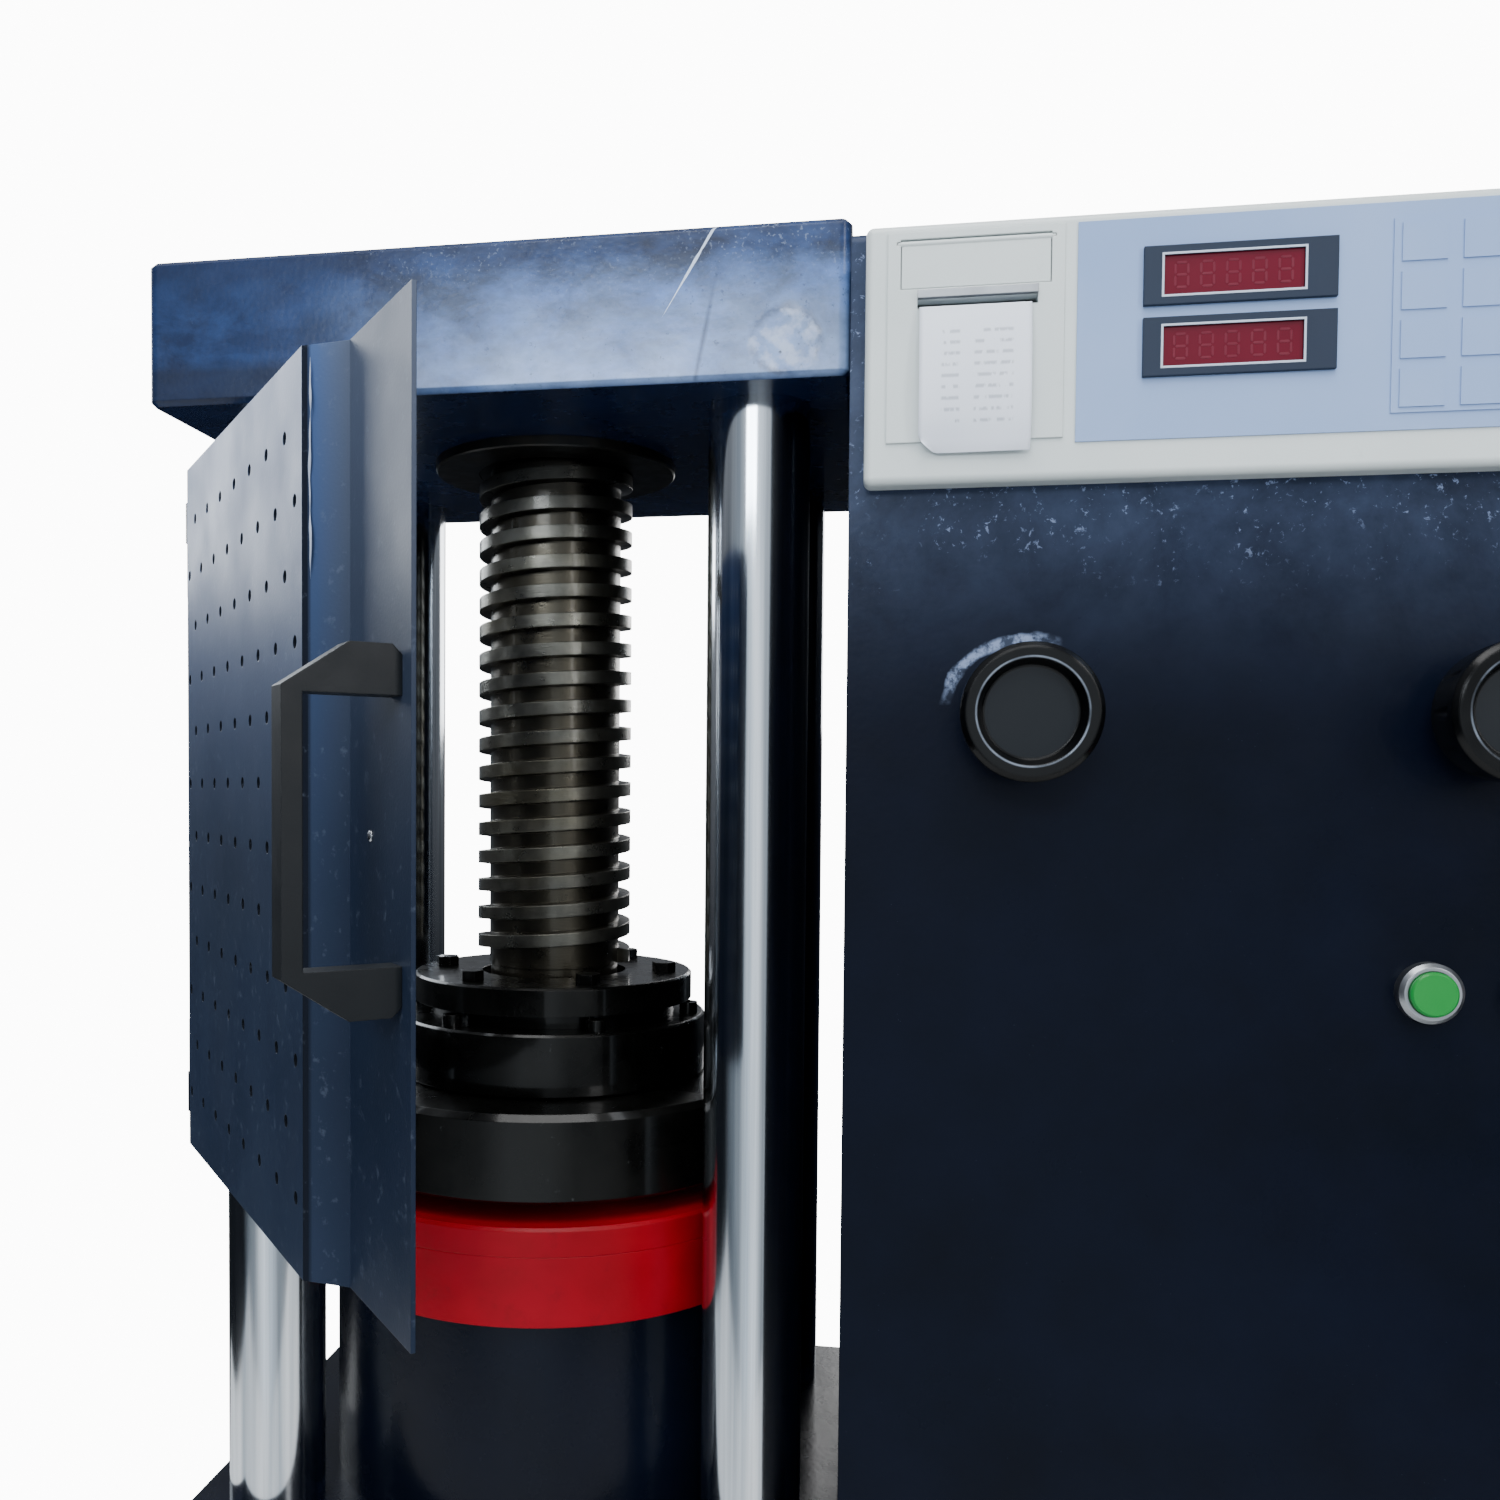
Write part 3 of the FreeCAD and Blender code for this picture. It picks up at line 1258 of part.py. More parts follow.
def make_printer():
    """The slip printer: housing with flange, hinged cover, tear bar, paper and its roll."""
    body = plate("printer_body", "printer_left", "printer_bottom", "printer_width", "printer_height",
                 "panel_front", "printer_flange")
    case = new_sketch(body, "XZ_Plane", "printer_case_outline", "-panel_front")
    rectangle(case, *narrowed("printer", "(printer_lip + clearance)"))
    pad(body, case, "printer_case", "printer_depth", True)
    recess = new_sketch(body, "XZ_Plane", "cover_recess_outline", "-(printer_face - 1)")
    rectangle(recess, "printer_left + printer_frame", "cover_bottom - cover_gap",
              "printer_left + printer_width - printer_frame", "cover_top + cover_gap")
    pocket(body, recess, "cover_recess", "cover_thickness + 2")
    window = new_sketch(body, "XZ_Plane", "chamber_window_outline", "-(printer_face + cover_thickness)")
    rectangle(window, "chamber_left", "cover_bottom + cover_gap * 4", "chamber_left + chamber_width",
              "cover_top - chamber_window")
    pocket(body, window, "chamber_window_cut", "chamber_front")
    slot = new_sketch(body, "XZ_Plane", "paper_slot_outline", "-(printer_face - 1)")
    rectangle(slot, "slot_left", "slot_bottom", "slot_left + slot_width", "slot_bottom + slot_height")
    pocket(body, slot, "paper_slot", "slot_depth")
    chamber = new_sketch(body, "XZ_Plane", "chamber_outline", "-(printer_face + chamber_front)")
    rectangle(chamber, "chamber_left", "printer_bottom + chamber_floor", "chamber_left + chamber_width",
              "cover_top - chamber_roof")
    pocket(body, chamber, "roll_chamber", "printer_depth - chamber_front - chamber_back")
    pins = new_sketch(body, "YZ_Plane", "cover_pin_marks", "printer_left + printer_frame - cover_pin_end")
    ring(pins, "cover_axis_y", "cover_axis_z", "cover_pin + hinge_fit")
    pocket(body, pins, "cover_pin_sockets", "printer_width - (printer_frame - cover_pin_end) * 2", True)
    node(body, "printer_body")

    side_gap = "(printer_frame + cover_gap)"
    flap = box("cover_flap", f"printer_left + {side_gap}", "cover_axis_y - cover_thickness / 2 + hinge_fit",
               "cover_bottom", f"printer_width - {side_gap} * 2", "cover_thickness - hinge_fit * 2",
               "cover_axis_z - cover_bottom")
    pin_side = "(printer_frame - cover_pin_end + clearance)"
    barrel = cylinder("cover_barrel", f"printer_left + {pin_side}", "cover_axis_y", "cover_axis_z",
                      "cover_pin", f"printer_width - {pin_side} * 2", "X")
    node(merged("printer_cover", flap, barrel), "printer_cover")

    bar = plate("tear_bar", "slot_left", "slot_bottom + slot_height", "slot_width", "bar_height",
                "printer_face", "bar_thickness")
    node(bar, "tear_bar")

    axis = ("roll_y", "roll_z")
    roll = cylinder("roll_whole", "roll_left", *axis, "roll_radius", "paper_width", "X")
    core = cylinder("roll_core_bore", "roll_left - 1", *axis, "roll_core", "paper_width + 2", "X")
    node(cut("paper_roll", roll, core), "paper_roll")
    axle = cylinder("roll_axle", "chamber_left", *axis, "roll_core - clearance", "chamber_width", "X")
    node(axle, "roll_axle")

    body = new_body("paper")
    side = new_sketch(body, "YZ_Plane", "paper_side", "roll_left")
    top = "slot_bottom + clearance"
    route = [
        ("printer_face + slot_depth - 2", top), ("printer_face - 1", top),
        ("printer_face - paper_stand", top + " - 4"),
        ("printer_face - paper_bulge * 0.8", top + " - paper_drop * 0.27"),
        ("printer_face - paper_bulge", top + " - paper_drop * 0.54"),
        ("printer_face - paper_bulge * 0.85", top + " - paper_drop * 0.78"),
        ("printer_face - paper_tail", top + " - paper_drop"),
    ]
    outer = [(f"{y} - paper_thickness", z) for y, z in reversed(route[2:])]
    outer += [("printer_face - 1 - paper_thickness", top + " + paper_thickness"),
              (route[0][0], top + " + paper_thickness")]
    outline(side, route + outer)
    pad(body, side, "paper_strip", "paper_width")
    node(body, "paper")


# Valves and push buttons

FRONTWARD = Rotation(Vector(1, 0, 0), 90)


def make_valves():
    """The valve block behind the front sheet, and a knob on a spindle for each valve."""
    top = "knob_length"
    bore = "(spindle_radius + spindle_fit)"
    block = box("valve_block_blank", "load_valve - block_overhang", "cabinet_inside",
                "valve_level - block_height / 2", "release_valve - load_valve + block_overhang * 2",
                "block_depth", "block_height")
    bores = []
    for name, across in (("load", "load_valve"), ("release", "release_valve")):
        bores.append(cylinder(f"{name}_valve_bore", across, "cabinet_inside - 1", "valve_level", bore,
                              "spindle_depth + 1", "Y"))
        knob = turned(f"{name}_knob", [
            (bore, "0"), ("knob_back - 2", "0"), ("knob_back", "2"), ("knob_back", "knob_length * 0.16"),
            ("knob_radius - 1.5", "knob_length * 0.34"), ("knob_radius", top + " - 9"),
            ("knob_radius", top + " - 2.5"), ("knob_radius - 2.5", top), ("knob_dish + 3", top),
            ("knob_dish", top + " - knob_dish_depth"), ("0", top + " - knob_dish_depth"),
            ("0", top + " - knob_dish_depth - 8"), (bore, top + " - knob_dish_depth - 8"),
        ], across, "console_front - knob_gap", "valve_level", FRONTWARD)
        drill_circle(knob, f"{name}_flute", top + " - 7", "knob_radius + flute_radius * 0.6", "flute_radius",
                     top + " * 0.5", "knob_flutes")
        node(knob, f"{name}_knob")
        tip = "(console_front - knob_gap - knob_length + knob_dish_depth + 8.3)"
        node(cylinder(f"{name}_spindle", across, tip, "valve_level", "spindle_radius",
                      f"cabinet_inside + spindle_depth - 1 - {tip}", "Y"), f"{name}_spindle")
    node(cut("valve_block", block, *bores), "valve_block")


def make_buttons():
    """Start and stop buttons, with their bezels and the contact blocks behind the sheet."""
    bezels = []
    blocks = []
    for name, side in (("start", "-"), ("stop", "+")):
        across = f"(release_valve {side} button_pitch / 2)"
        stem = "cabinet_inside - (console_front - button_stand) + contact_depth * 0.6"
        cap = "(button_stand - button_travel - 1)"
        button = turned(f"{name}_button", [
            ("0", "0"), ("button_stem", "0"), ("button_stem", f"{stem} - {cap}"),
            ("button_radius", f"{stem} - {cap}"), ("button_radius", f"{stem} - 1"),
            ("button_radius - 1", stem), ("0", stem),
        ], across, "cabinet_inside + contact_depth * 0.6", "button_level", FRONTWARD)
        node(button, f"{name}_button")
        bezels.append(turned(f"{name}_bezel", [
            ("button_radius + clearance", "0"), ("bezel_radius", "0"), ("bezel_radius", "bezel_height - 2"),
            ("bezel_radius - 2", "bezel_height"), ("button_radius + clearance", "bezel_height"),
        ], across, "console_front", "button_level", FRONTWARD))
        blank = box(f"{name}_contact_blank", f"{across} - contact_width / 2", "cabinet_inside",
                    "button_level - contact_width / 2", "contact_width", "contact_depth", "contact_width")
        well = cylinder(f"{name}_contact_well", across, "cabinet_inside - 1", "button_level",
                        "button_stem + clearance", "contact_depth * 0.6 + button_travel + 2", "Y")
        blocks.append(cut(f"{name}_contact", blank, well))
    node(group("button_bezels", *bezels), "button_bezels")
    node(group("contact_blocks", *blocks), "contact_blocks")


# Power pack

def make_power_pack():
    """Oil tank, motor on its lid, shaft, pump below the lid, and the pipe to the ram."""
    outer = box("tank_outside", "console_left + tank_inset", "tank_back - tank_depth - 1", "cabinet_floor",
                "console_width - tank_inset * 2", "tank_depth", "tank_height")
    inner = box("tank_inside", "console_left + tank_inset + tank_wall",
                "tank_back - tank_depth - 1 + tank_wall", "cabinet_floor + tank_wall",
                "console_width - tank_inset * 2 - tank_wall * 2", "tank_depth - tank_wall * 2",
                "tank_height - tank_wall * 2")
    lid_hole = cylinder("tank_lid_hole", "motor_x", "motor_y", "tank_top - tank_wall - 1", "shaft_radius + 2",
                        "tank_wall + 2")
    node(cut("oil_tank", outer, inner, lid_hole), "oil_tank")

    bore = "shaft_radius + spindle_fit"
    motor = turned("pump_motor", [
        (bore, "0"), ("motor_flange", "0"), ("motor_flange", "motor_flange_height"),
        ("motor_radius", "motor_flange_height"), ("motor_radius", "motor_height - 8"),
        ("motor_radius - 8", "motor_height"), ("0", "motor_height"), ("0", "motor_height - 20"),
        (bore, "motor_height - 20"),
    ], "motor_x", "motor_y", "tank_top")
    mark = new_sketch(motor, "XY_Plane", "motor_fin_mark", "motor_height - 12")
    rectangle(mark, "motor_radius - fin_depth", "-fin_width / 2", "motor_radius + 2", "fin_width / 2")
    gap = pocket(motor, mark, "motor_fin_gap", "motor_height - motor_flange_height - 24")
    polar(motor, gap, "motor_fins", "fin_count")
    node(motor, "pump_motor")

    node(cylinder("motor_shaft", "motor_x", "motor_y", "tank_top + motor_height - 22 - shaft_length",
                  "shaft_radius", "shaft_length"), "motor_shaft")
    pump = turned("pump", [
        ("0", "0"), ("pump_radius - 4", "0"), ("pump_radius", "4"), ("pump_radius", "pump_height"),
        (bore, "pump_height"), (bore, "pump_height - 70"), ("0", "pump_height - 70"),
    ], "motor_x", "motor_y", "tank_top - tank_wall - pump_height")
    node(pump, "pump")

    route = [
        Vector(0, 0, value("bed_top - clearance")),
        Vector(0, 0, value("pipe_level")),
        Vector(0, -value("pipe_side"), value("pipe_level")),
        Vector(value("load_valve"), -value("pipe_side"), value("pipe_level")),
        Vector(value("load_valve"), -value("pipe_side"), value("valve_level - block_height / 2 - clearance")),
    ]
    path = bent_path(route, value("pipe_bend"))
    wall = [Part.Wire(Part.makeCircle(value(radius), route[0], Vector(0, 0, 1)))
            for radius in ("pipe_radius", "pipe_bore")]
    tube, bore_core = (path.makePipeShell([section], True, False) for section in wall)
    pipe = doc.addObject("Part::Feature", "oil_pipe")
    pipe.Shape = tube.cut(bore_core)
    node(pipe, "oil_pipe")


def bent_path(route, radius):
    """Straight runs along a route of square corners, joined by tangent arcs of one radius."""
    edges = []
    start = route[0]
    for before, corner, after in zip(route, route[1:], route[2:]):
        into = (corner - before).normalize()
        out = (after - corner).normalize()
        entry = corner - into * radius
        leave = corner + out * radius
        middle = corner + (out - into).normalize() * radius * (math.sqrt(2) - 1)
        edges.append(Part.LineSegment(start, entry).toShape())
        edges.append(Part.Arc(entry, middle, leave).toShape())
        start = leave
    edges.append(Part.LineSegment(start, route[-1]).toShape())
    return Part.Wire(edges)


for build in (make_stand, make_bed, make_columns, make_column_nuts, make_crosshead, make_cylinder, make_ram,
              make_head, make_screw, make_nut, make_handwheel, make_hinges, make_door, make_handle,
              make_cabinet, make_rear, make_ties, make_panel, make_printer, make_valves, make_buttons,
              make_power_pack):
    build()
doc.recompute()

# Check and write
for item in doc.Objects:
    for word in ("Invalid", "Error"):
        if word in item.State:
            raise SystemExit(f"{item.Name} is {word}")
for item in NODES:
    if item.Shape.isNull() or not item.Shape.isValid():
        raise SystemExit(f"{item.Label} has no valid shape")
for item in NODES:
    item.Shape.exportStep(f"parts/{item.Label}.step")
    print(item.Label, len(item.Shape.Solids), round(item.Shape.Volume / 1000, 1), item.Shape.BoundBox)
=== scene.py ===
import math

import bmesh
import bpy
from mathutils import Matrix, Vector


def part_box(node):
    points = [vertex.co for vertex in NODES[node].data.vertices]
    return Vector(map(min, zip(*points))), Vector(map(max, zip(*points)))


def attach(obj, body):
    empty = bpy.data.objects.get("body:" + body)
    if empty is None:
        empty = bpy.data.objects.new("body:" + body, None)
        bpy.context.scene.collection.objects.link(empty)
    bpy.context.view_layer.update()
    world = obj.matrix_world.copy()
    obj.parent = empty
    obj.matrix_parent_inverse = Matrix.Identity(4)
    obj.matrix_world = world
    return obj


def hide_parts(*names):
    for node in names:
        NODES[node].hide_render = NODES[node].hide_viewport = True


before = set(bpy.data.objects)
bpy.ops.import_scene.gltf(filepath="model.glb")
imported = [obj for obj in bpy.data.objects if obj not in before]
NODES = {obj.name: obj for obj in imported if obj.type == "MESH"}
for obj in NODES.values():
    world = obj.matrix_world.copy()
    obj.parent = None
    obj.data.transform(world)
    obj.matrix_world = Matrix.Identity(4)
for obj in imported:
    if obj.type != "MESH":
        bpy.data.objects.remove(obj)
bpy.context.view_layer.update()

MM = 0.001


# Camera

# The photograph's camera: place in metres, angles in radians, lens in pixels of a 1500 pixel frame.
FRAME_PIXELS = 1500
FOCAL_PIXELS = 1299.7
CENTRE_X_PIXEL = 652.2
CENTRE_Y_PIXEL = 831.1
CAMERA_YAW = 0.16657
CAMERA_PITCH = 0.03025
CAMERA_ROLL = 0.0066
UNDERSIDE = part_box("crosshead")[0].z
CAMERA_PLACE = Vector((0.2267, -0.9210, UNDERSIDE - 0.2338))
SENSOR_MM = 36

# What the camera sees past the machine, in scene light.
WHITE = 12.0


def make_camera():
    """The photograph's camera. A shifted lens keeps its optical centre."""
    data = bpy.data.cameras.new("camera")
    data.sensor_width = SENSOR_MM
    data.sensor_fit = "HORIZONTAL"
    data.lens = FOCAL_PIXELS / FRAME_PIXELS * SENSOR_MM
    data.shift_x = (FRAME_PIXELS / 2 - CENTRE_X_PIXEL) / FRAME_PIXELS
    data.shift_y = (CENTRE_Y_PIXEL - FRAME_PIXELS / 2) / FRAME_PIXELS
    data.clip_start = 0.01
    data.clip_end = 50
    across = Vector((math.cos(CAMERA_YAW), math.sin(CAMERA_YAW), 0))
    ahead = Vector((-math.sin(CAMERA_YAW), math.cos(CAMERA_YAW), 0))
    forward = ahead * math.cos(CAMERA_PITCH) + Vector((0, 0, -math.sin(CAMERA_PITCH)))
    up = across.cross(forward)
    right = across * math.cos(CAMERA_ROLL) + up * math.sin(CAMERA_ROLL)
    top = up * math.cos(CAMERA_ROLL) - across * math.sin(CAMERA_ROLL)
    camera = bpy.data.objects.new("camera", data)
    turn = Matrix((right, top, -forward)).transposed().to_4x4()
    camera.matrix_world = Matrix.Translation(CAMERA_PLACE) @ turn
    bpy.context.scene.collection.objects.link(camera)
    bpy.context.scene.camera = camera


# Door

# The open door's own frame: along it from its hinge edge, through it towards the machine, in metres.
DOOR_ANGLE = math.radians(50.3)
DOOR_ALONG = Vector((math.cos(DOOR_ANGLE), -math.sin(DOOR_ANGLE), 0))
DOOR_INWARD = Vector((math.sin(DOOR_ANGLE), math.cos(DOOR_ANGLE), 0))
DOOR_PLACE = Vector((-192, -173, 0)) * MM


# Materials

def rgb(code):
    """A colour written as in a style sheet, as linear light."""
    values = [int(code[i:i + 2], 16) / 255 for i in (1, 3, 5)]
    linear = [v / 12.92 if v <= 0.04045 else ((v + 0.055) / 1.055) ** 2.4 for v in values]
    return (*linear, 1)


def pick(sockets, name):
    """The one socket of a Mix node with this name that its data type uses."""
    return next(s for s in sockets if s.name == name and s.enabled)


class Nodes:
    """Short ways to build a node tree."""

    def __init__(self, tree):
        self.tree = tree

    def node(self, kind, **values):
        """A shader node of a kind, with its settings."""
        item = self.tree.nodes.new("ShaderNode" + kind)
        for name, value in values.items():
            setattr(item, name, value)
        return item

    def feed(self, value, socket):
        """Links an output to a socket, or sets the socket to a plain value."""
        if hasattr(value, "links"):
            self.tree.links.new(value, socket)
        else:
            socket.default_value = value

    def ramp(self, value, *stops):
        """Maps a value through numbers or colours at given positions."""
        item = self.node("ValToRGB")
        points = item.color_ramp.elements
        shades = [(place, shade if isinstance(shade, tuple) else (shade, shade, shade, 1)) for place, shade in stops]
        for point, (place, shade) in ((points[0], shades[0]), (points[1], shades[-1])):
            point.position = place
            point.color = shade
        for place, shade in shades[1:-1]:
            points.new(place).color = shade
        self.feed(value, item.inputs["Fac"])
        return item.outputs["Color"]

    def mix(self, factor, first, second, blend="MIX"):
        item = self.node("Mix", data_type="RGBA", blend_type=blend)
        for value, name in ((factor, "Factor"), (first, "A"), (second, "B")):
            self.feed(value, pick(item.inputs, name))
        return pick(item.outputs, "Result")

    def maths(self, operation, first, second=0.0, clamp=False):
        item = self.node("Math", operation=operation, use_clamp=clamp)
        self.feed(first, item.inputs[0])
        self.feed(second, item.inputs[1])
        return item.outputs["Value"]

    def scale(self, value, factor, offset=0.0):
        """The value times a factor, plus an offset."""
        scaled = self.maths("MULTIPLY", value, factor)
        return self.maths("ADD", scaled, offset) if offset else scaled

    def times(self, *values):
        result = values[0]
        for value in values[1:]:
            result = self.maths("MULTIPLY", result, value)
        return result

    def step(self, value, low, high):
        """0 below low, 1 above high; high below low turns it round."""
        item = self.node("MapRange", clamp=True)
        self.feed(value, item.inputs["Value"])
        item.inputs["From Min"].default_value = low
        item.inputs["From Max"].default_value = high
        return item.outputs["Result"]

    def band(self, value, low, high, soft):
        """1 between two values, 0 outside, with soft ends."""
        return self.times(self.step(value, low - soft, low + soft), self.step(value, high + soft, high - soft))


class Paint(Nodes):
    """One node material on the standard shader, in the object's coordinates in metres."""

    def __init__(self, name):
        self.material = bpy.data.materials.new(name)
        self.material.use_nodes = True
        super().__init__(self.material.node_tree)
        self.shader = next(n for n in self.tree.nodes if n.type == "BSDF_PRINCIPLED")
        self.space = self.node("TexCoord").outputs["Object"]
        self.axes = None

    def set(self, **values):
        """Sets plain values on the shader's own sockets."""
        for name, value in values.items():
            self.shader.inputs[name.replace("_", " ")].default_value = value

    def colour(self, value):
        self.feed(value, self.shader.inputs["Base Color"])

    def roughness(self, value):
        self.feed(value, self.shader.inputs["Roughness"])

    def bump(self, height, distance, strength=1.0, edge=0.0):
        """Adds relief in metres, and rounds sharp edges in the light by a radius."""
        item = self.node("Bump")
        item.inputs["Distance"].default_value = distance
        item.inputs["Strength"].default_value = strength
        self.feed(height, item.inputs["Height"])
        if edge:
            round_edge = self.node("Bevel", samples=4)
            round_edge.inputs["Radius"].default_value = edge
            self.feed(round_edge.outputs["Normal"], item.inputs["Normal"])
        self.feed(item.outputs["Normal"], self.shader.inputs["Normal"])

    def axis(self, name):
        """One coordinate of the object."""
        if self.axes is None:
            self.axes = self.node("SeparateXYZ")
            self.feed(self.space, self.axes.inputs["Vector"])
        return self.axes.outputs[name]

    def place(self, stretch):
        """The object's coordinates, stretched."""
        if stretch == (1, 1, 1):
            return self.space
        mapping = self.node("Mapping")
        mapping.inputs["Scale"].default_value = stretch
        self.feed(self.space, mapping.inputs["Vector"])
        return mapping.outputs["Vector"]

    def noise(self, scale, detail=3.0, rough=0.5, stretch=(1, 1, 1), warp=0.0):
        item = self.node("TexNoise")
        item.inputs["Scale"].default_value = scale
        item.inputs["Detail"].default_value = detail
        item.inputs["Roughness"].default_value = rough
        item.inputs["Distortion"].default_value = warp
        self.feed(self.place(stretch), item.inputs["Vector"])
        return item.outputs["Fac"]

    def dots(self, scale, feature="F1"):
        """Distance from the nearest of many scattered points, as a share of their spacing."""
        item = self.node("TexVoronoi", feature=feature)
        item.inputs["Scale"].default_value = scale
        self.feed(self.space, item.inputs["Vector"])
        return item.outputs["Distance"]

    def run(self, axis, origin, start, end):
        """0 at start, 1 at end, both in millimetres from an origin along an axis."""
        return self.step(self.axis(axis), origin + start * MM, origin + end * MM)

    def reach(self, x, z):
        """Distance from a point of the front face."""
        across = self.maths("SUBTRACT", self.axis("X"), x)
        rise = self.maths("SUBTRACT", self.axis("Z"), z)
        return self.maths("SQRT", self.maths("ADD", self.times(across, across), self.times(rise, rise)))

    def off_line(self, start, end):
        """Distance from the line through two (x, z) points of the front face."""
        run = Vector((end[0] - start[0], end[1] - start[1])).normalized()
        across = self.scale(self.maths("SUBTRACT", self.axis("X"), start[0]), run.y)
        rise = self.scale(self.maths("SUBTRACT", self.axis("Z"), start[1]), run.x)
        return self.maths("ABSOLUTE", self.maths("SUBTRACT", across, rise))

    def along(self, direction):
        """Distance from the door's hinge edge along a direction."""
        offset = self.node("VectorMath", operation="SUBTRACT")
        self.feed(self.space, offset.inputs[0])
        offset.inputs[1].default_value = DOOR_PLACE
        product = self.node("VectorMath", operation="DOT_PRODUCT")
        self.feed(offset.outputs["Vector"], product.inputs[0])
        product.inputs[1].default_value = direction
        return product.outputs["Value"]

    def wander(self, distance, amount, scale, detail, rough=0.5):
        """A distance made irregular by noise of up to an amount in millimetres."""
        return self.maths("ADD", distance, self.scale(self.noise(scale, detail, rough), amount * MM))

    def cloudy(self, field, first, second, start=0.3, end=0.7):
        """Two colours in clouds: the first where the field is under start, the second over end."""
        return self.mix(self.ramp(field, (start, 0.0), (end, 1.0)), rgb(first), rgb(second))

    def over(self, tone, code, *masks):
        """A colour over a tone, where all masks allow it."""
        return self.mix(self.times(*masks), tone, rgb(code))


def enamel(name, base, deep, gloss, sheen):
    """Sprayed enamel: slow changes of tone, small pale pits and dust. Returns the paint and its tone."""
    paint = Paint(name)
    tone = paint.cloudy(paint.noise(9, 4, 0.6), deep, base)
    pits = paint.ramp(paint.dots(260), (0.0, 1.0), (0.045, 0.0))
    rare = paint.ramp(paint.noise(38, 2), (0.56, 0.0), (0.62, 1.0))
    tone = paint.over(tone, "#7d8aa4", pits, rare, 0.4)
    paint.roughness(paint.ramp(paint.noise(24, 5, 0.6), (0.3, gloss), (0.75, gloss + 0.14)))
    paint.set(Coat_Weight=sheen / 2, Coat_Roughness=0.14, Specular_IOR_Level=sheen)
    peel = paint.mix(0.6, paint.noise(420, 2), paint.dots(300, "SMOOTH_F1"))
    paint.bump(peel, 0.22 * MM, 0.5, 1.6 * MM)
    return paint, tone


def navy_enamel():
    """Glossy navy of the bed, stand and cylinder."""
    paint, tone = enamel("navy_enamel", "#080e1d", "#050913", 0.2, 0.12)
    paint.colour(tone)
    return paint.material


def crosshead_enamel():
    """The crosshead's navy: a mottled painted reflection, a painted highlight and shade along its lower edge, a long
    scratch, a crack and a round mended patch.
    """
    paint, tone = enamel("crosshead_enamel", "#182a4e", "#0f1b36", 0.2, 0.25)
    low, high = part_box("crosshead")
    front = paint.run("Y", low.y, 4, 1)
    right = paint.run("X", low.x, 100, 240)

    # Painted reflection in a mottled haze, stronger low down and at the right.
    painted_sheen = paint.ramp(paint.noise(22, 7, 0.7, (1, 1, 1.8), 0.25), (0.40, 0.0), (0.68, 0.6))
    down = paint.scale(paint.step(paint.axis("Z"), high.z - 4 * MM, low.z + 50 * MM), 0.8, 0.25)
    tone = paint.over(tone, "#5a88dc", painted_sheen, front, down, paint.scale(right, 0.8, 0.2))

    # A painted highlight along the lower edge, and painted shade at its left end.
    shine = paint.ramp(paint.noise(16, 6, 0.65, (1, 1, 1.6), 0.2), (0.34, 0.25), (0.66, 0.9))
    tone = paint.over(tone, "#a8c8fc", paint.run("Z", low.z, 74, 2), right, shine, front)
    tone = paint.over(tone, "#141d31", paint.run("Z", low.z, 26, 18), paint.run("X", low.x, 130, 90), front, 0.75)

    # Dark specks, pale drops on the upper right part, and a dark smudge.
    specks = paint.ramp(paint.noise(230, 5, 0.7), (0.62, 0.0), (0.68, 1.0))
    tone = paint.over(tone, "#1b2c50", specks, front, right, 0.45)
    drops = paint.ramp(paint.noise(430, 3, 0.6), (0.60, 0.0), (0.65, 1.0))
    wet = paint.times(paint.step(paint.axis("Z"), low.z + 40 * MM, high.z - 4 * MM),
                      paint.run("X", low.x, 110, 190),
                      paint.ramp(paint.noise(28, 3), (0.42, 0.0), (0.6, 1.0)))
    tone = paint.over(tone, "#a9bbdd", drops, wet, front, 0.3)
    smudge = paint.wander(paint.reach(low.x + 112 * MM, low.z + 38 * MM), 16, 40, 4)
    tone = paint.over(tone, "#1a2a47", paint.step(smudge, 26 * MM, 14 * MM), front, 0.6)

    # The round mended patch, with its dark broken rim and a few pits in its middle.
    patch = paint.reach(high.x - 36 * MM, low.z + 20 * MM)
    edge = paint.wander(patch, 14, 70, 5, 0.6)
    inside = paint.times(paint.step(edge, 29 * MM, 25 * MM), paint.ramp(paint.noise(120, 5), (0.42, 0.0), (0.6, 0.7)))
    tone = paint.over(tone, "#c3d1ee", inside, front)
    broken = paint.ramp(paint.noise(50, 3), (0.4, 0.2), (0.6, 1.0))
    tone = paint.over(tone, "#1d2c4c", paint.band(edge, 25 * MM, 28 * MM, 1.5 * MM), broken, front, 0.55)
    pits = paint.maths("LESS_THAN", paint.dots(120), 0.16)
    tone = paint.over(tone, "#182238", pits, paint.step(patch, 9 * MM, 7 * MM), front, 0.8)

    # The long scratch from the top edge, narrowing downwards.
    scratch_top = (high.x - 76.4 * MM, high.z)
    scratch_foot = (high.x - 107 * MM, high.z - 50.3 * MM)
    width = paint.times(paint.noise(90, 4), paint.run("Z", high.z, -51, -20), 1.5 * MM)
    scratch = paint.maths("LESS_THAN", paint.off_line(scratch_top, scratch_foot), width)
    tone = paint.over(tone, "#cfdffa", scratch, front)

    # The crack from the lower edge, fading upwards.
    crack_foot = (high.x - 88 * MM, low.z)
    crack_top = (high.x - 76 * MM, low.z + 60 * MM)
    crack = paint.wander(paint.off_line(crack_foot, crack_top), 2.4, 70, 5)
    fading = paint.run("Z", low.z, 70, 30)
    tone = paint.over(tone, "#15213b", paint.step(crack, 3.2 * MM, 1.2 * MM), fading, front, 0.6)
    paint.colour(tone)
    return paint.material


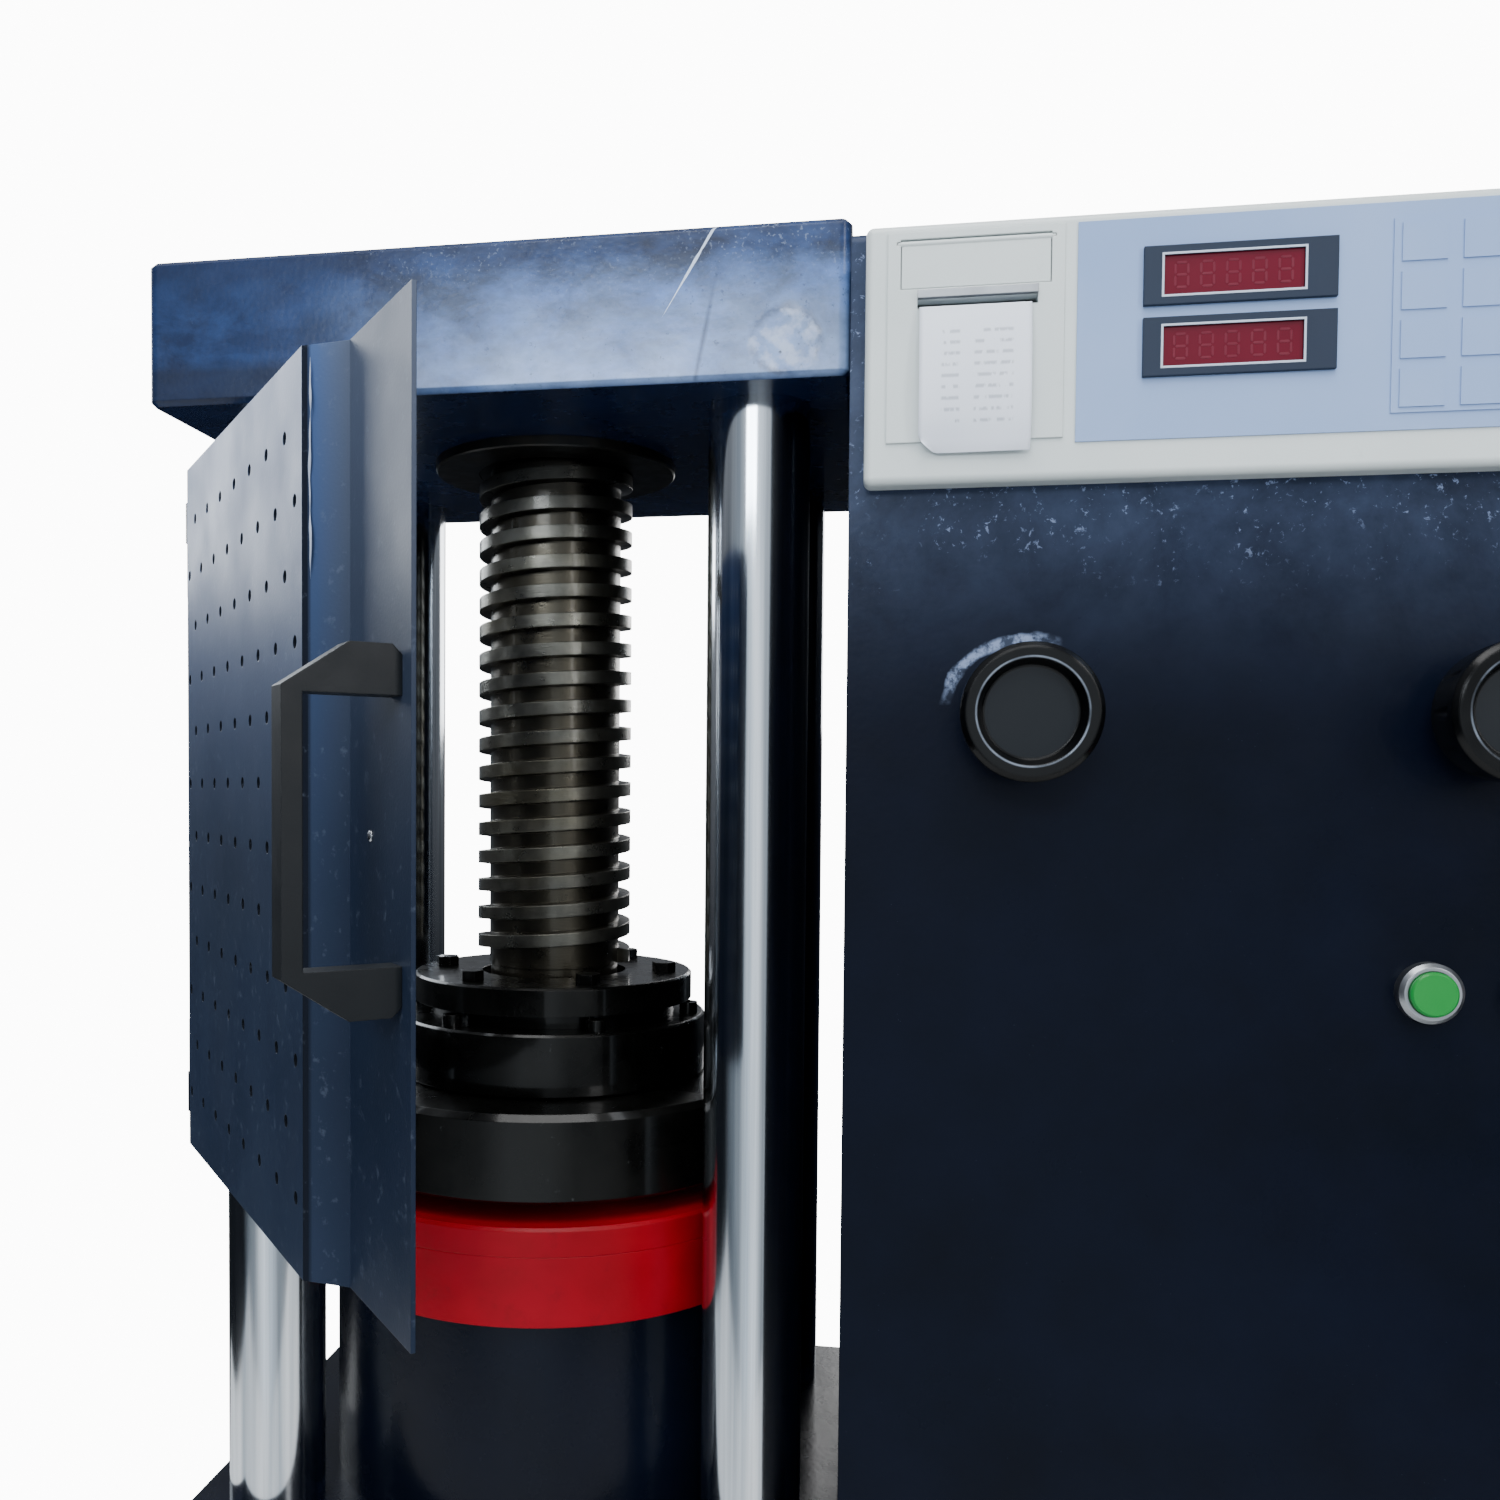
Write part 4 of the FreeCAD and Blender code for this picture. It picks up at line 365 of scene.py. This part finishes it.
def cabinet_enamel():
    """Near-black navy: a painted sheen under the bezel with flaked spots there, and worn round the load valve's knob.
    """
    paint, tone = enamel("cabinet_enamel", "#080e1e", "#050914", 0.26, 0.07)
    front = paint.run("Y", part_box("cabinet_shell")[0].y, 4, 1)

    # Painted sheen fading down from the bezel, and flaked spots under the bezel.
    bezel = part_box("panel_bezel")[0].z
    light_towards_top = paint.run("Z", bezel, -130, 10)
    painted_sheen = paint.ramp(paint.noise(22, 6, 0.7, warp=0.2), (0.3, 0.25), (0.7, 0.8))
    tone = paint.over(tone, "#46536f", light_towards_top, light_towards_top, painted_sheen, front)
    zone = paint.run("Z", bezel, -62, -4)
    chosen = paint.step(paint.maths("ADD", paint.noise(26, 4, 0.6), paint.scale(zone, 0.16)), 0.52, 0.66)
    flakes = paint.ramp(paint.noise(240, 6, 0.75, warp=0.5), (0.60, 0.0), (0.64, 1.0))
    tone = paint.over(tone, "#8494b8", flakes, chosen, zone, front, 0.8)

    # Wear round the knob: a torn arc above it at the left, and a thin one at its right.
    low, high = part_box("load_knob")
    middle = (low + high) / 2
    radius = (high.x - low.x) / 2
    ring = paint.wander(paint.reach(middle.x, middle.z), 8, 60, 4)
    torn = paint.ramp(paint.noise(150, 5, 0.7), (0.42, 0.15), (0.56, 1.0))
    wide = paint.band(ring, radius + 7 * MM, radius + 12.5 * MM, 1 * MM)
    above = paint.run("Z", middle.z, 6, 20)
    tone = paint.over(tone, "#8494b4", wide, above, paint.run("X", middle.x, 20, 2), torn, front)
    thin = paint.band(ring, radius + 3 * MM, radius + 7 * MM, 1 * MM)
    tone = paint.over(tone, "#7e8cac", thin, paint.run("X", middle.x, 24, 34), torn, front)
    paint.colour(tone)
    return paint.material


def door_enamel():
    """Satin navy on folded sheet, with a painted sheen towards its top, painted shade on the walls of its holes and
    along its crease.
    """
    paint = Paint("door_enamel")
    tone = paint.cloudy(paint.noise(5, 4, 0.55), "#1c2638", "#253146")
    through = paint.along(DOOR_INWARD)
    tone = paint.mix(paint.step(through, 3 * MM, 15 * MM), tone, paint.mix(0.45, tone, rgb("#0b1424")))

    # Painted sheen towards the top: bluer on the pan, weaker and greyer on the flange.
    low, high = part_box("door_panel")
    light_towards_top = paint.step(paint.axis("Z"), low.z + 170 * MM, high.z + 20 * MM)
    flange = paint.step(through, 4 * MM, 15 * MM)
    strength = paint.maths("SUBTRACT", 0.46, paint.scale(flange, 0.2))
    painted_sheen = paint.mix(flange, rgb("#6482bd"), rgb("#93a0bb"))
    tone = paint.mix(paint.times(light_towards_top, paint.maths("SQRT", light_towards_top), strength), tone, painted_sheen)

    # What lies inside the sheet, and not on its faces, is the wall of a hole, painted near-black as shade. The crease
    # is beside the sealer.
    half_sheet = 0.97 * MM
    wall = paint.maths("LESS_THAN", paint.maths("ABSOLUTE", through), half_sheet)
    tone = paint.over(tone, "#05070b", wall, 0.92)
    # Painted shade along the crease.
    crease_shade = paint.band(paint.along(DOOR_ALONG), 269.3 * MM, 272.2 * MM, 0.5 * MM)
    tone = paint.over(tone, "#0b1220", crease_shade, 0.7)
    dust = paint.ramp(paint.noise(160, 3, 0.7), (0.60, 0.0), (0.72, 0.10))
    paint.colour(paint.over(tone, "#8d98ad", dust))
    satin = paint.ramp(paint.noise(18, 4), (0.3, 0.36), (0.7, 0.48))
    paint.roughness(paint.maths("ADD", satin, paint.scale(wall, 0.5)))
    paint.set(Specular_IOR_Level=0.18)
    paint.bump(paint.noise(700, 2), 0.12 * MM, 0.5, 0.6 * MM)
    return paint.material


def hard_chrome():
    """Polished hard chrome with faint streaks along it."""
    paint = Paint("hard_chrome")
    streaks = paint.noise(110, 4, 0.6, (1, 1, 0.012))
    paint.colour(paint.cloudy(streaks, "#aab4be", "#e9edf2", 0.35, 0.65))
    paint.roughness(paint.ramp(paint.noise(35, 4, 0.6, (1, 1, 0.1)), (0.35, 0.10), (0.7, 0.17)))
    paint.set(Metallic=1.0)
    paint.bump(paint.noise(90, 2, 0.5, (1, 1, 0.02)), 0.02 * MM, 0.4)
    return paint.material


def oiled_thread():
    """Machined steel under old oil: grey with olive stains, with painted shade in the thread's root and a painted
    shadow under the nut.
    """
    paint = Paint("oiled_thread")
    tone = paint.cloudy(paint.noise(26, 5, 0.6), "#484742", "#7b7a71", 0.3, 0.75)
    stain = paint.ramp(paint.noise(9, 3, 0.5, (1, 1, 2)), (0.5, 0.0), (0.7, 0.6))
    tone = paint.over(tone, "#5c5642", stain)
    squares = [paint.times(paint.axis(name), paint.axis(name)) for name in "XY"]
    from_axis = paint.maths("SQRT", paint.maths("ADD", *squares))
    # Painted shade in the thread's root.
    root_shade = paint.step(from_axis, 53.5 * MM, 50 * MM)
    tone = paint.over(tone, "#48443a", root_shade)
    # A painted shadow on the screw under the nut.
    nut_shadow = paint.run("Z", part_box("screw_nut")[0].z, -70, 0)
    tone = paint.over(tone, "#15171a", nut_shadow, 0.7)
    paint.colour(tone)
    paint.set(Metallic=0.9, Coat_Weight=0.2, Coat_Roughness=0.12)
    paint.roughness(paint.ramp(paint.noise(70, 4, 0.6), (0.3, 0.24), (0.75, 0.44)))
    paint.bump(paint.noise(160, 4, 0.6, (1, 1, 6)), 0.4 * MM, 0.4, 1.2 * MM)
    return paint.material


def plain_steel(name="plain_steel", base="#8f9398", gloss=0.28):
    """Zinc plated or bright turned steel."""
    paint = Paint(name)
    paint.colour(paint.over(rgb(base), "#b9bcc0", paint.noise(60, 4)))
    paint.set(Metallic=1.0)
    paint.roughness(paint.ramp(paint.noise(90, 4, 0.6), (0.3, gloss), (0.75, gloss + 0.18)))
    paint.bump(paint.noise(500, 2), 0.06 * MM, 0.4, 0.6 * MM)
    return paint.material


def greased_steel():
    """Black steel with grease: dark, wet in patches, worn bright in small spots."""
    paint = Paint("greased_steel")
    film = paint.ramp(paint.noise(18, 5, 0.65, warp=0.4), (0.35, 0.0), (0.65, 1.0))
    tone = paint.mix(film, rgb("#060605"), rgb("#0e0e0c"))
    worn = paint.ramp(paint.noise(120, 5, 0.7), (0.66, 0.0), (0.74, 0.5))
    paint.colour(paint.over(tone, "#5c5f60", worn))
    paint.set(Metallic=0.55, Coat_Weight=0.3, Coat_Roughness=0.08, Specular_IOR_Level=0.25)
    paint.roughness(paint.ramp(film, (0.0, 0.18), (1.0, 0.42)))
    paint.bump(paint.noise(140, 5, 0.65), 0.5 * MM, 0.35, 1.2 * MM)
    return paint.material


def red_enamel():
    """Satin signal red with slow changes of tone and some grime."""
    paint = Paint("red_enamel")
    tone = paint.cloudy(paint.noise(12, 4, 0.6), "#80000e", "#9e0019")
    grime = paint.ramp(paint.noise(40, 5, 0.7), (0.58, 0.0), (0.75, 0.35))
    paint.colour(paint.over(tone, "#4a020c", grime))
    paint.roughness(paint.ramp(paint.noise(30, 4), (0.3, 0.3), (0.7, 0.44)))
    paint.set(Specular_IOR_Level=0.15)
    paint.bump(paint.noise(380, 3), 0.2 * MM, 0.4, 1.2 * MM)
    return paint.material


def cream_moulding():
    """Pale grey-cream moulded plastic, fine spark-eroded grain."""
    paint = Paint("cream_moulding")
    tone = paint.cloudy(paint.noise(7, 4), "#cdd6d6", "#dae1e0")
    grime = paint.ramp(paint.noise(55, 5, 0.7), (0.62, 0.0), (0.8, 0.25))
    paint.colour(paint.over(tone, "#a9b0ad", grime))
    paint.roughness(paint.ramp(paint.noise(40, 4), (0.3, 0.34), (0.7, 0.46)))
    paint.bump(paint.noise(900, 3), 0.1 * MM, 0.4, 0.8 * MM)
    return paint.material


def label_film():
    """Light blue printed polyester film."""
    paint = Paint("label_film")
    paint.colour(paint.cloudy(paint.noise(8, 4), "#86a1cf", "#94add6"))
    paint.roughness(paint.ramp(paint.noise(50, 4), (0.3, 0.3), (0.7, 0.4)))
    paint.set(Specular_IOR_Level=0.3)
    paint.bump(paint.noise(1200, 2), 0.05 * MM, 0.4)
    return paint.material


def plastic(name, base, other, gloss):
    """A plain moulded plastic with a fine grain."""
    paint = Paint(name)
    paint.colour(paint.over(rgb(base), other, paint.noise(30, 4)))
    paint.roughness(paint.ramp(paint.noise(60, 4), (0.3, gloss), (0.7, gloss + 0.12)))
    paint.set(Specular_IOR_Level=0.3)
    paint.bump(paint.noise(700, 3), 0.1 * MM, 0.4, 0.6 * MM)
    return paint.material


def red_filter():
    """The dark red filter over the numeric displays."""
    paint = Paint("red_filter")
    paint.colour(paint.over(rgb("#55041a"), "#680a24", paint.noise(25, 3)))
    paint.roughness(paint.ramp(paint.noise(60, 3), (0.3, 0.12), (0.7, 0.2)))
    paint.set(Specular_IOR_Level=0.25)
    return paint.material


def thermal_paper():
    """Thin white paper with faint grey rows, as of old figures."""
    paint = Paint("thermal_paper")
    row_pitch = 5.6 * MM
    low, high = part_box("paper")
    tone = paint.over(rgb("#e6edfb"), "#f0f5ff", paint.noise(30, 4))
    row = paint.band(paint.maths("FRACT", paint.scale(paint.axis("Z"), 1 / row_pitch)), 0.2, 0.5, 0.08)
    strokes = paint.ramp(paint.noise(330, 2, 0.5, (1, 1, 0.3)), (0.44, 0.0), (0.52, 1.0))
    left = paint.band(paint.axis("X"), low.x + 11 * MM, low.x + 20 * MM, 0.5 * MM)
    right = paint.band(paint.axis("X"), low.x + 27 * MM, high.x - 9 * MM, 0.5 * MM)
    columns = paint.maths("ADD", left, right, True)
    printed = paint.band(paint.axis("Z"), low.z + 14 * MM, high.z - 12 * MM, 1 * MM)
    paint.colour(paint.over(tone, "#6f7686", row, strokes, columns, printed, 0.5))
    paint.roughness(paint.ramp(paint.noise(80, 4), (0.3, 0.5), (0.7, 0.62)))
    paint.bump(paint.noise(300, 4), 0.1 * MM, 0.3)
    return paint.material


def bronze():
    """Cast bronze, almost black with old grease."""
    paint = Paint("bronze")
    paint.colour(paint.cloudy(paint.noise(30, 5, 0.65), "#121416", "#2b2720", 0.4, 0.75))
    paint.set(Metallic=0.7, Coat_Weight=0.3, Coat_Roughness=0.2)
    paint.roughness(paint.ramp(paint.noise(60, 4), (0.3, 0.3), (0.7, 0.5)))
    paint.bump(paint.noise(200, 3), 0.1 * MM, 0.3, 0.8 * MM)
    return paint.material


def knob_plastic(node):
    """Black moulded knob with a greyer, duller disc in its face and a painted highlight round its lip."""
    paint = Paint(node + "_plastic")
    low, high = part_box(node)
    middle = (low + high) / 2
    from_axis = paint.reach(middle.x, middle.z)
    face = paint.run("Y", low.y, 30, 12)
    disc = paint.step(from_axis, 22.4 * MM, 21.6 * MM)
    black = paint.over(rgb("#030304"), "#070809", paint.noise(30, 4))
    tone = paint.over(black, "#0d1218", disc, face)
    # A painted highlight round the polished lip, broken up by noise.
    lip_highlight = paint.band(from_axis, 26.2 * MM, 27 * MM, 0.3 * MM)
    highlight_breaks = paint.ramp(paint.noise(45, 4), (0.4, 0.1), (0.62, 0.7))
    paint.colour(paint.over(tone, "#8d98a8", lip_highlight, face, highlight_breaks))
    dull = paint.ramp(paint.noise(60, 4), (0.3, 0.12), (0.7, 0.24))
    paint.roughness(paint.maths("ADD", dull, paint.scale(disc, 0.25)))
    paint.set(Specular_IOR_Level=0.22)
    paint.bump(paint.noise(500, 3), 0.06 * MM, 0.4, 1.8 * MM)
    return paint.material


def dress_nodes():
    """Gives every CAD node its finish, and returns the finishes of the pieces that are made here."""
    paper = thermal_paper()
    finishes = {
        navy_enamel(): ["bed", "cylinder", "stand", "plinth"],
        crosshead_enamel(): ["crosshead"],
        cabinet_enamel(): ["cabinet_shell", "rear_cover"],
        door_enamel(): ["door_panel"],
        hard_chrome(): ["column_front_left", "column_front_right", "column_rear_left", "column_rear_right", "piston"],
        oiled_thread(): ["lead_screw", "load_spindle", "release_spindle", "motor_shaft"],
        plain_steel(): ["top_nuts", "bottom_nuts", "hinge_pins", "handle_screws", "tie_bolts", "oil_pipe",
                        "roll_axle", "button_bezels"],
        plain_steel("bar_steel", "#7d8186", 0.35): ["tear_bar"],
        greased_steel(): ["upper_platen", "ball_seat", "retaining_ring", "ring_bolts", "seat_screws", "ball_cap",
                          "thrust_washer", "hinge_collars", "handwheel"],
        red_enamel(): ["lower_platen", "dust_skirt"],
        bronze(): ["screw_nut"],
        cream_moulding(): ["panel_bezel", "printer_body", "printer_cover"],
        label_film(): ["panel_label", "keypad"],
        red_filter(): ["display_windows"],
        knob_plastic("load_knob"): ["load_knob"],
        knob_plastic("release_knob"): ["release_knob"],
        paper: ["paper", "paper_roll"],
        plastic("seal_rubber", "#0a0a0a", "#141414", 0.5): ["piston_seal", "wiper_ring"],
        plastic("display_frame", "#132033", "#19283d", 0.45): ["display_frames"],
        plastic("handle_grey", "#080c10", "#0d1217", 0.42): ["door_handle"],
        plastic("black_plastic", "#0c0d0e", "#161718", 0.32): ["contact_blocks", "power_inlet"],
        plastic("start_green", "#127a31", "#17893a", 0.25): ["start_button"],
        plastic("stop_red", "#b01218", "#c0181e", 0.25): ["stop_button"],
        plastic("grey_enamel", "#5d6466", "#6b7274", 0.35): ["oil_tank", "pump_motor"],
        plastic("machined_iron", "#3a3c3d", "#4b4d4e", 0.5): ["valve_block", "pump"],
    }
    for material, names in finishes.items():
        for name in names:
            slots = NODES[name].material_slots
            for slot in slots:
                slot.material = material
            if not slots:
                NODES[name].data.materials.append(material)
    return {
        "paper": paper,
        "trim": plastic("pale_print", "#b9c4d8", "#c6d0e0", 0.4),
        "digits": plastic("unlit_digits", "#640b24", "#6a0f29", 0.3),
        # The sealer bead is real; its pale colour is a painted highlight along it.
        "seam": plastic("seam_bead", "#a9b6d0", "#c6d0e4", 0.25),
        "rivet": plain_steel("rivet_steel", "#c9ccd0", 0.15),
    }


# Pieces

def add_piece(name, verts, faces, material, smooth=False):
    """A mesh piece in the machine's frame."""
    mesh = bpy.data.meshes.new(name)
    mesh.from_pydata([tuple(v) for v in verts], [], faces)
    mesh.materials.append(material)
    item = bpy.data.objects.new(name, mesh)
    bpy.context.scene.collection.objects.link(item)
    work = bmesh.new()
    work.from_mesh(mesh)
    bmesh.ops.recalc_face_normals(work, faces=work.faces)
    for face in work.faces:
        face.smooth = smooth
    work.to_mesh(mesh)
    work.free()
    return item


def islands(name):
    """Lowest and highest corner of each separate solid in a CAD node, from low to high."""
    work = bmesh.new()
    work.from_mesh(NODES[name].data)
    bmesh.ops.remove_doubles(work, verts=work.verts, dist=0.01 * MM)
    left = set(work.verts)
    found = []
    while left:
        queue = [left.pop()]
        points = []
        while queue:
            vert = queue.pop()
            points.append(vert.co.copy())
            for edge in vert.link_edges:
                other = edge.other_vert(vert)
                if other in left:
                    left.remove(other)
                    queue.append(other)
        found.append([Vector([end(point[i] for point in points) for i in range(3)]) for end in (min, max)])
    work.free()
    return sorted(found, key=lambda corners: corners[0].z)


def prism(outline, back, front):
    """A flat plate facing the front: vertices and faces from an outline of (x, z) points."""
    count = len(outline)
    verts = [(x, back, z) for x, z in outline] + [(x, front, z) for x, z in outline]
    sides = [(i, (i + 1) % count, count + (i + 1) % count, count + i) for i in range(count)]
    return verts, [tuple(range(count)), tuple(range(2 * count - 1, count - 1, -1))] + sides


def tube(rows, around):
    """Faces between rows of vertices that close round a line."""
    faces = []
    for i in range(rows - 1):
        for k in range(around):
            a, b = i * around + k, i * around + (k + 1) % around
            faces.append((a, b, b + around, a + around))
    return faces


def window_trim(material):
    """A thin pale line printed round each display window."""
    width = 1.1 * MM
    proud = 0.15 * MM
    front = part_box("display_frames")[0].y
    for name, (low, high) in zip(("low", "high"), islands("display_windows")):
        outer = [(low.x - width, low.z - width), (high.x + width, low.z - width),
                 (high.x + width, high.z + width), (low.x - width, high.z + width)]
        inner = [(low.x, low.z), (high.x, low.z), (high.x, high.z), (low.x, high.z)]
        verts = [(x, y, z) for y in (front + proud, front - proud) for x, z in outer + inner]
        faces = []
        for i in range(4):
            j = (i + 1) % 4
            faces += [(i, j, 4 + j, 4 + i), (8 + i, 8 + j, 12 + j, 12 + i), (i, j, 8 + j, 8 + i),
                      (4 + i, 4 + j, 12 + j, 12 + i)]
        trim = add_piece(f"window_trim_{name}", verts, faces, material)
        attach(trim, "frame")


def digit_segments(material):
    """Unlit seven-segment digits, as they show through each red window. They are thin plates in its face."""
    digits = 5
    # The bare window at the two ends together, in digits.
    spare = 0.4
    # The digit's height as a share of the window's, and its width and stroke as shares of its height.
    height, width, stroke = 0.62, 0.5, 0.055
    behind, before = 0.1 * MM, 0.04 * MM
    for name, (low, high) in zip(("low", "high"), islands("display_windows")):
        verts, faces = [], []
        pitch = (high.x - low.x) / (digits + spare)
        tall = (high.z - low.z) * height
        wide = tall * width
        thick = tall * stroke
        middle = (low.z + high.z) / 2
        for i in range(digits):
            centre = low.x + pitch * (i + 0.5 + spare / 2)
            bars = [(centre, middle + k * tall / 2, True) for k in (-1, 0, 1)]
            bars += [(centre + a * wide / 2, middle + b * tall / 4, False) for a in (-1, 1) for b in (-1, 1)]
            for x, z, flat in bars:
                half = (wide if flat else tall / 2) / 2 - thick * 0.6
                shape = [(-half, 0), (-half + thick, thick), (half - thick, thick), (half, 0),
                         (half - thick, -thick), (-half + thick, -thick)]
                outline = [(x + u, z + v) if flat else (x + v, z + u) for u, v in shape]
                more, sides = prism(outline, low.y + behind, low.y - before)
                faces += [tuple(len(verts) + k for k in side) for side in sides]
                verts += more
        piece = add_piece(f"digits_{name}", verts, faces, material)
        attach(piece, "frame")


def smooth_line(route, steps):
    """A Catmull-Rom curve through the points of a route, with a number of steps from each to the next."""
    line = []
    last = len(route) - 1
    for i in range(last):
        before, start, end, after = (Vector(route[max(0, min(last, i + k))]) for k in (-1, 0, 1, 2))
        for k in range(steps):
            t = k / steps
            line.append(0.5 * (2 * start + (end - before) * t
                               + (2 * before - 5 * start + 4 * end - after) * t * t
                               + (3 * start - before - 3 * end + after) * t ** 3))
    return line + [Vector(route[-1])]


def printed_paper(material):
    """The slip: out of the slot, down in a slow bulge, its end curling back and one corner bent."""
    low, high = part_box("paper")
    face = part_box("printer_cover")[0].y
    top = high.z - 0.3 * MM
    # Millimetres before the printer's cover and below the slot, from inside the printer down to the curled end.
    route = [(face - out * MM, top - down * MM)
             for out, down in ((-9, 0), (1, 0), (3, 4), (5.4, 20), (6.6, 40), (6.0, 56), (3.6, 68))]
    line = smooth_line(route + [(face - 1.6 * MM, low.z + 0.4 * MM)], 8)
    across = 22
    ripple = 0.35 * MM
    flat_rows, growing_rows = 14, 20
    # The bent corner's legs, and how far its tip moves sideways, forwards and up.
    bend = 9 * MM
    aside, forwards, up = 2.2 * MM, 5 * MM, 4.5 * MM
    verts, faces = [], []
    for i, (y, z) in enumerate(line):
        free = min(1, max(0, i - flat_rows) / growing_rows)
        for j in range(across + 1):
            u = j / across
            x = low.x + (high.x - low.x) * u
            wave = ripple * math.sin(5 * u + 0.12 * i) * free
            corner = max(0.0, bend - (x - low.x) - (z - low.z)) / bend
            verts.append((x + corner * aside, y + wave - corner * corner * forwards, z + corner * up))
    for i in range(len(line) - 1):
        for j in range(across):
            a = i * (across + 1) + j
            faces.append((a, a + 1, a + across + 2, a + across + 1))
    sheet = add_piece("paper_slip", verts, faces, material, True)
    solid = sheet.modifiers.new("thickness", "SOLIDIFY")
    solid.thickness = 0.12 * MM
    solid.offset = 0
    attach(sheet, "frame")
    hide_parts("paper")


def on_door(along, inward, level):
    """A point of the open door, from millimetres on its sheet and a level in metres."""
    return DOOR_PLACE + DOOR_ALONG * along * MM + DOOR_INWARD * inward * MM + Vector((0, 0, level))


def door_seam(material):
    """The wavy bead of sealer down the fold beside the perforated pan, in millimetres on the door."""
    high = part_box("door_panel")[1].z
    station, proud, radius = 273.5, 1.4, 1.5
    first, length = 6, 96
    rows, around = 61, 8
    verts = []
    for i in range(rows):
        t = i / (rows - 1)
        sway = 0.7 * math.sin(9 * t) + 0.35 * math.sin(31 * t + 1)
        swell = 0.55 + 0.25 * math.sin(17 * t) + 0.15 * math.sin(43 * t)
        size = radius * swell * min(1.0, 6 * t + 0.1, 6 * (1 - t) + 0.1)
        for k in range(around):
            turn = 2 * math.pi * k / around
            verts.append(on_door(station + sway + size * math.cos(turn), proud + 0.45 * size * math.sin(turn),
                                 high - (first + length * t) * MM))
    ends = [tuple(range(around)), tuple((rows - 1) * around + k for k in range(around))]
    bead = add_piece("door_seam", verts, tube(rows, around) + ends, material, True)
    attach(bead, "door")


def door_rivet(material):
    """The bright rivet head on the door's flange, inside the handle's bow, in millimetres on the door."""
    rings, around, radius, proud = 5, 20, 2.6, 1.3
    station, face, level = 315.6, 15.0, 860 * MM
    verts = []
    for i in range(rings):
        lean = math.pi / 2 * i / rings
        for k in range(around):
            turn = 2 * math.pi * k / around
            out = radius * math.cos(lean)
            verts.append(on_door(station + out * math.cos(turn), face - proud * math.sin(lean),
                                 level + out * math.sin(turn) * MM))
    verts.append(on_door(station, face - proud, level))
    last_ring = (rings - 1) * around
    crown = [(last_ring + k, last_ring + (k + 1) % around, rings * around) for k in range(around)]
    faces = tube(rings, around) + crown + [tuple(range(around))]
    head = add_piece("door_rivet", verts, faces, material, True)
    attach(head, "door")


def make_details(finish):
    """The pieces that are made here, each in its finish."""
    window_trim(finish["trim"])
    door_seam(finish["seam"])
    door_rivet(finish["rivet"])
    digit_segments(finish["digits"])
    printed_paper(finish["paper"])


# Studio

def area_light(name, place, target, size, power, colour=(1, 1, 1)):
    """A soft light with its width and height in metres and its power in watts."""
    data = bpy.data.lights.new(name, "AREA")
    data.shape = "RECTANGLE"
    data.size, data.size_y = size
    data.energy = power
    data.color = colour
    light = bpy.data.objects.new(name, data)
    light.location = place
    light.rotation_euler = (Vector(target) - Vector(place)).to_track_quat("-Z", "Y").to_euler()
    bpy.context.scene.collection.objects.link(light)


def make_world():
    """White behind the machine; for its light and reflections a dim room, brighter overhead and in front."""
    world = bpy.data.worlds.new("studio")
    bpy.context.scene.world = world
    world.use_nodes = True
    nodes = Nodes(world.node_tree)
    split = nodes.node("SeparateXYZ")
    nodes.feed(nodes.node("TexCoord").outputs["Generated"], split.inputs["Vector"])
    overhead = nodes.ramp(nodes.step(split.outputs["Z"], -1, 1),
                          (0.42, (0.012, 0.014, 0.018, 1)), (0.9, (0.5, 0.53, 0.58, 1)))

    # The wall in front, in upright bands of light.
    bands = [(place, (level * 0.85, level * 0.93, level, 1))
             for place, level in ((0.3, 0.45), (0.42, 1.0), (0.6, 0.92), (0.7, 0.4), (0.8, 0.5))]
    wall = nodes.ramp(nodes.step(split.outputs["X"], -1, 1),
                      (0.1, (0.2, 0.24, 0.28, 1)), *bands, (0.95, (0.3, 0.33, 0.37, 1)))
    in_front = nodes.scale(nodes.step(split.outputs["Y"], -0.45, -0.9), 1.35)
    room = nodes.mix(1.0, overhead, nodes.mix(1.0, in_front, wall, "MULTIPLY"), "ADD")

    camera_ray = nodes.node("LightPath").outputs["Is Camera Ray"]
    background = next(n for n in nodes.tree.nodes if n.type == "BACKGROUND")
    nodes.feed(nodes.mix(camera_ray, room, (WHITE, WHITE, WHITE, 1)), background.inputs["Color"])


def make_floor():
    """A pale floor under the machine and round it, just below the feet."""
    corners = [(-1.3, -1.2, 0), (1.7, -1.2, 0), (1.7, 0.5, 0), (-1.3, 0.5, 0)]
    mesh = bpy.data.meshes.new("floor")
    mesh.from_pydata(corners, [], [(0, 1, 2, 3)])
    floor = bpy.data.objects.new("floor", mesh)
    floor.location.z = -0.5 * MM
    bpy.context.scene.collection.objects.link(floor)
    paint = Paint("floor_paint")
    paint.colour(paint.over(rgb("#dcdcda"), "#e4e4e2", paint.noise(3, 4)))
    paint.set(Roughness=0.6)
    mesh.materials.append(paint.material)


def make_studio():
    """Soft lights round the machine, a room for its reflections, and the floor."""
    middle = (0.1, 0, 0.8)
    cool = (0.88, 0.94, 1.0)
    area_light("window", (-0.42, -2.9, 1.86), (0.05, -0.18, 1.1), (1.15, 0.42), 26, cool)
    area_light("ceiling", (0.1, -1.2, 2.9), middle, (1.6, 1.6), 55)
    area_light("wall_left", (-1.85, 1.1, 1.85), (-0.1, -0.25, 1.0), (1.1, 1.1), 30, cool)
    area_light("strip_right", (1.9, -1.9, 1.7), middle, (0.5, 1.6), 22)
    area_light("behind", (0.9, 2.4, 1.8), middle, (1.8, 1.6), 45)
    make_world()
    make_floor()


make_camera()
make_details(dress_nodes())
make_studio()
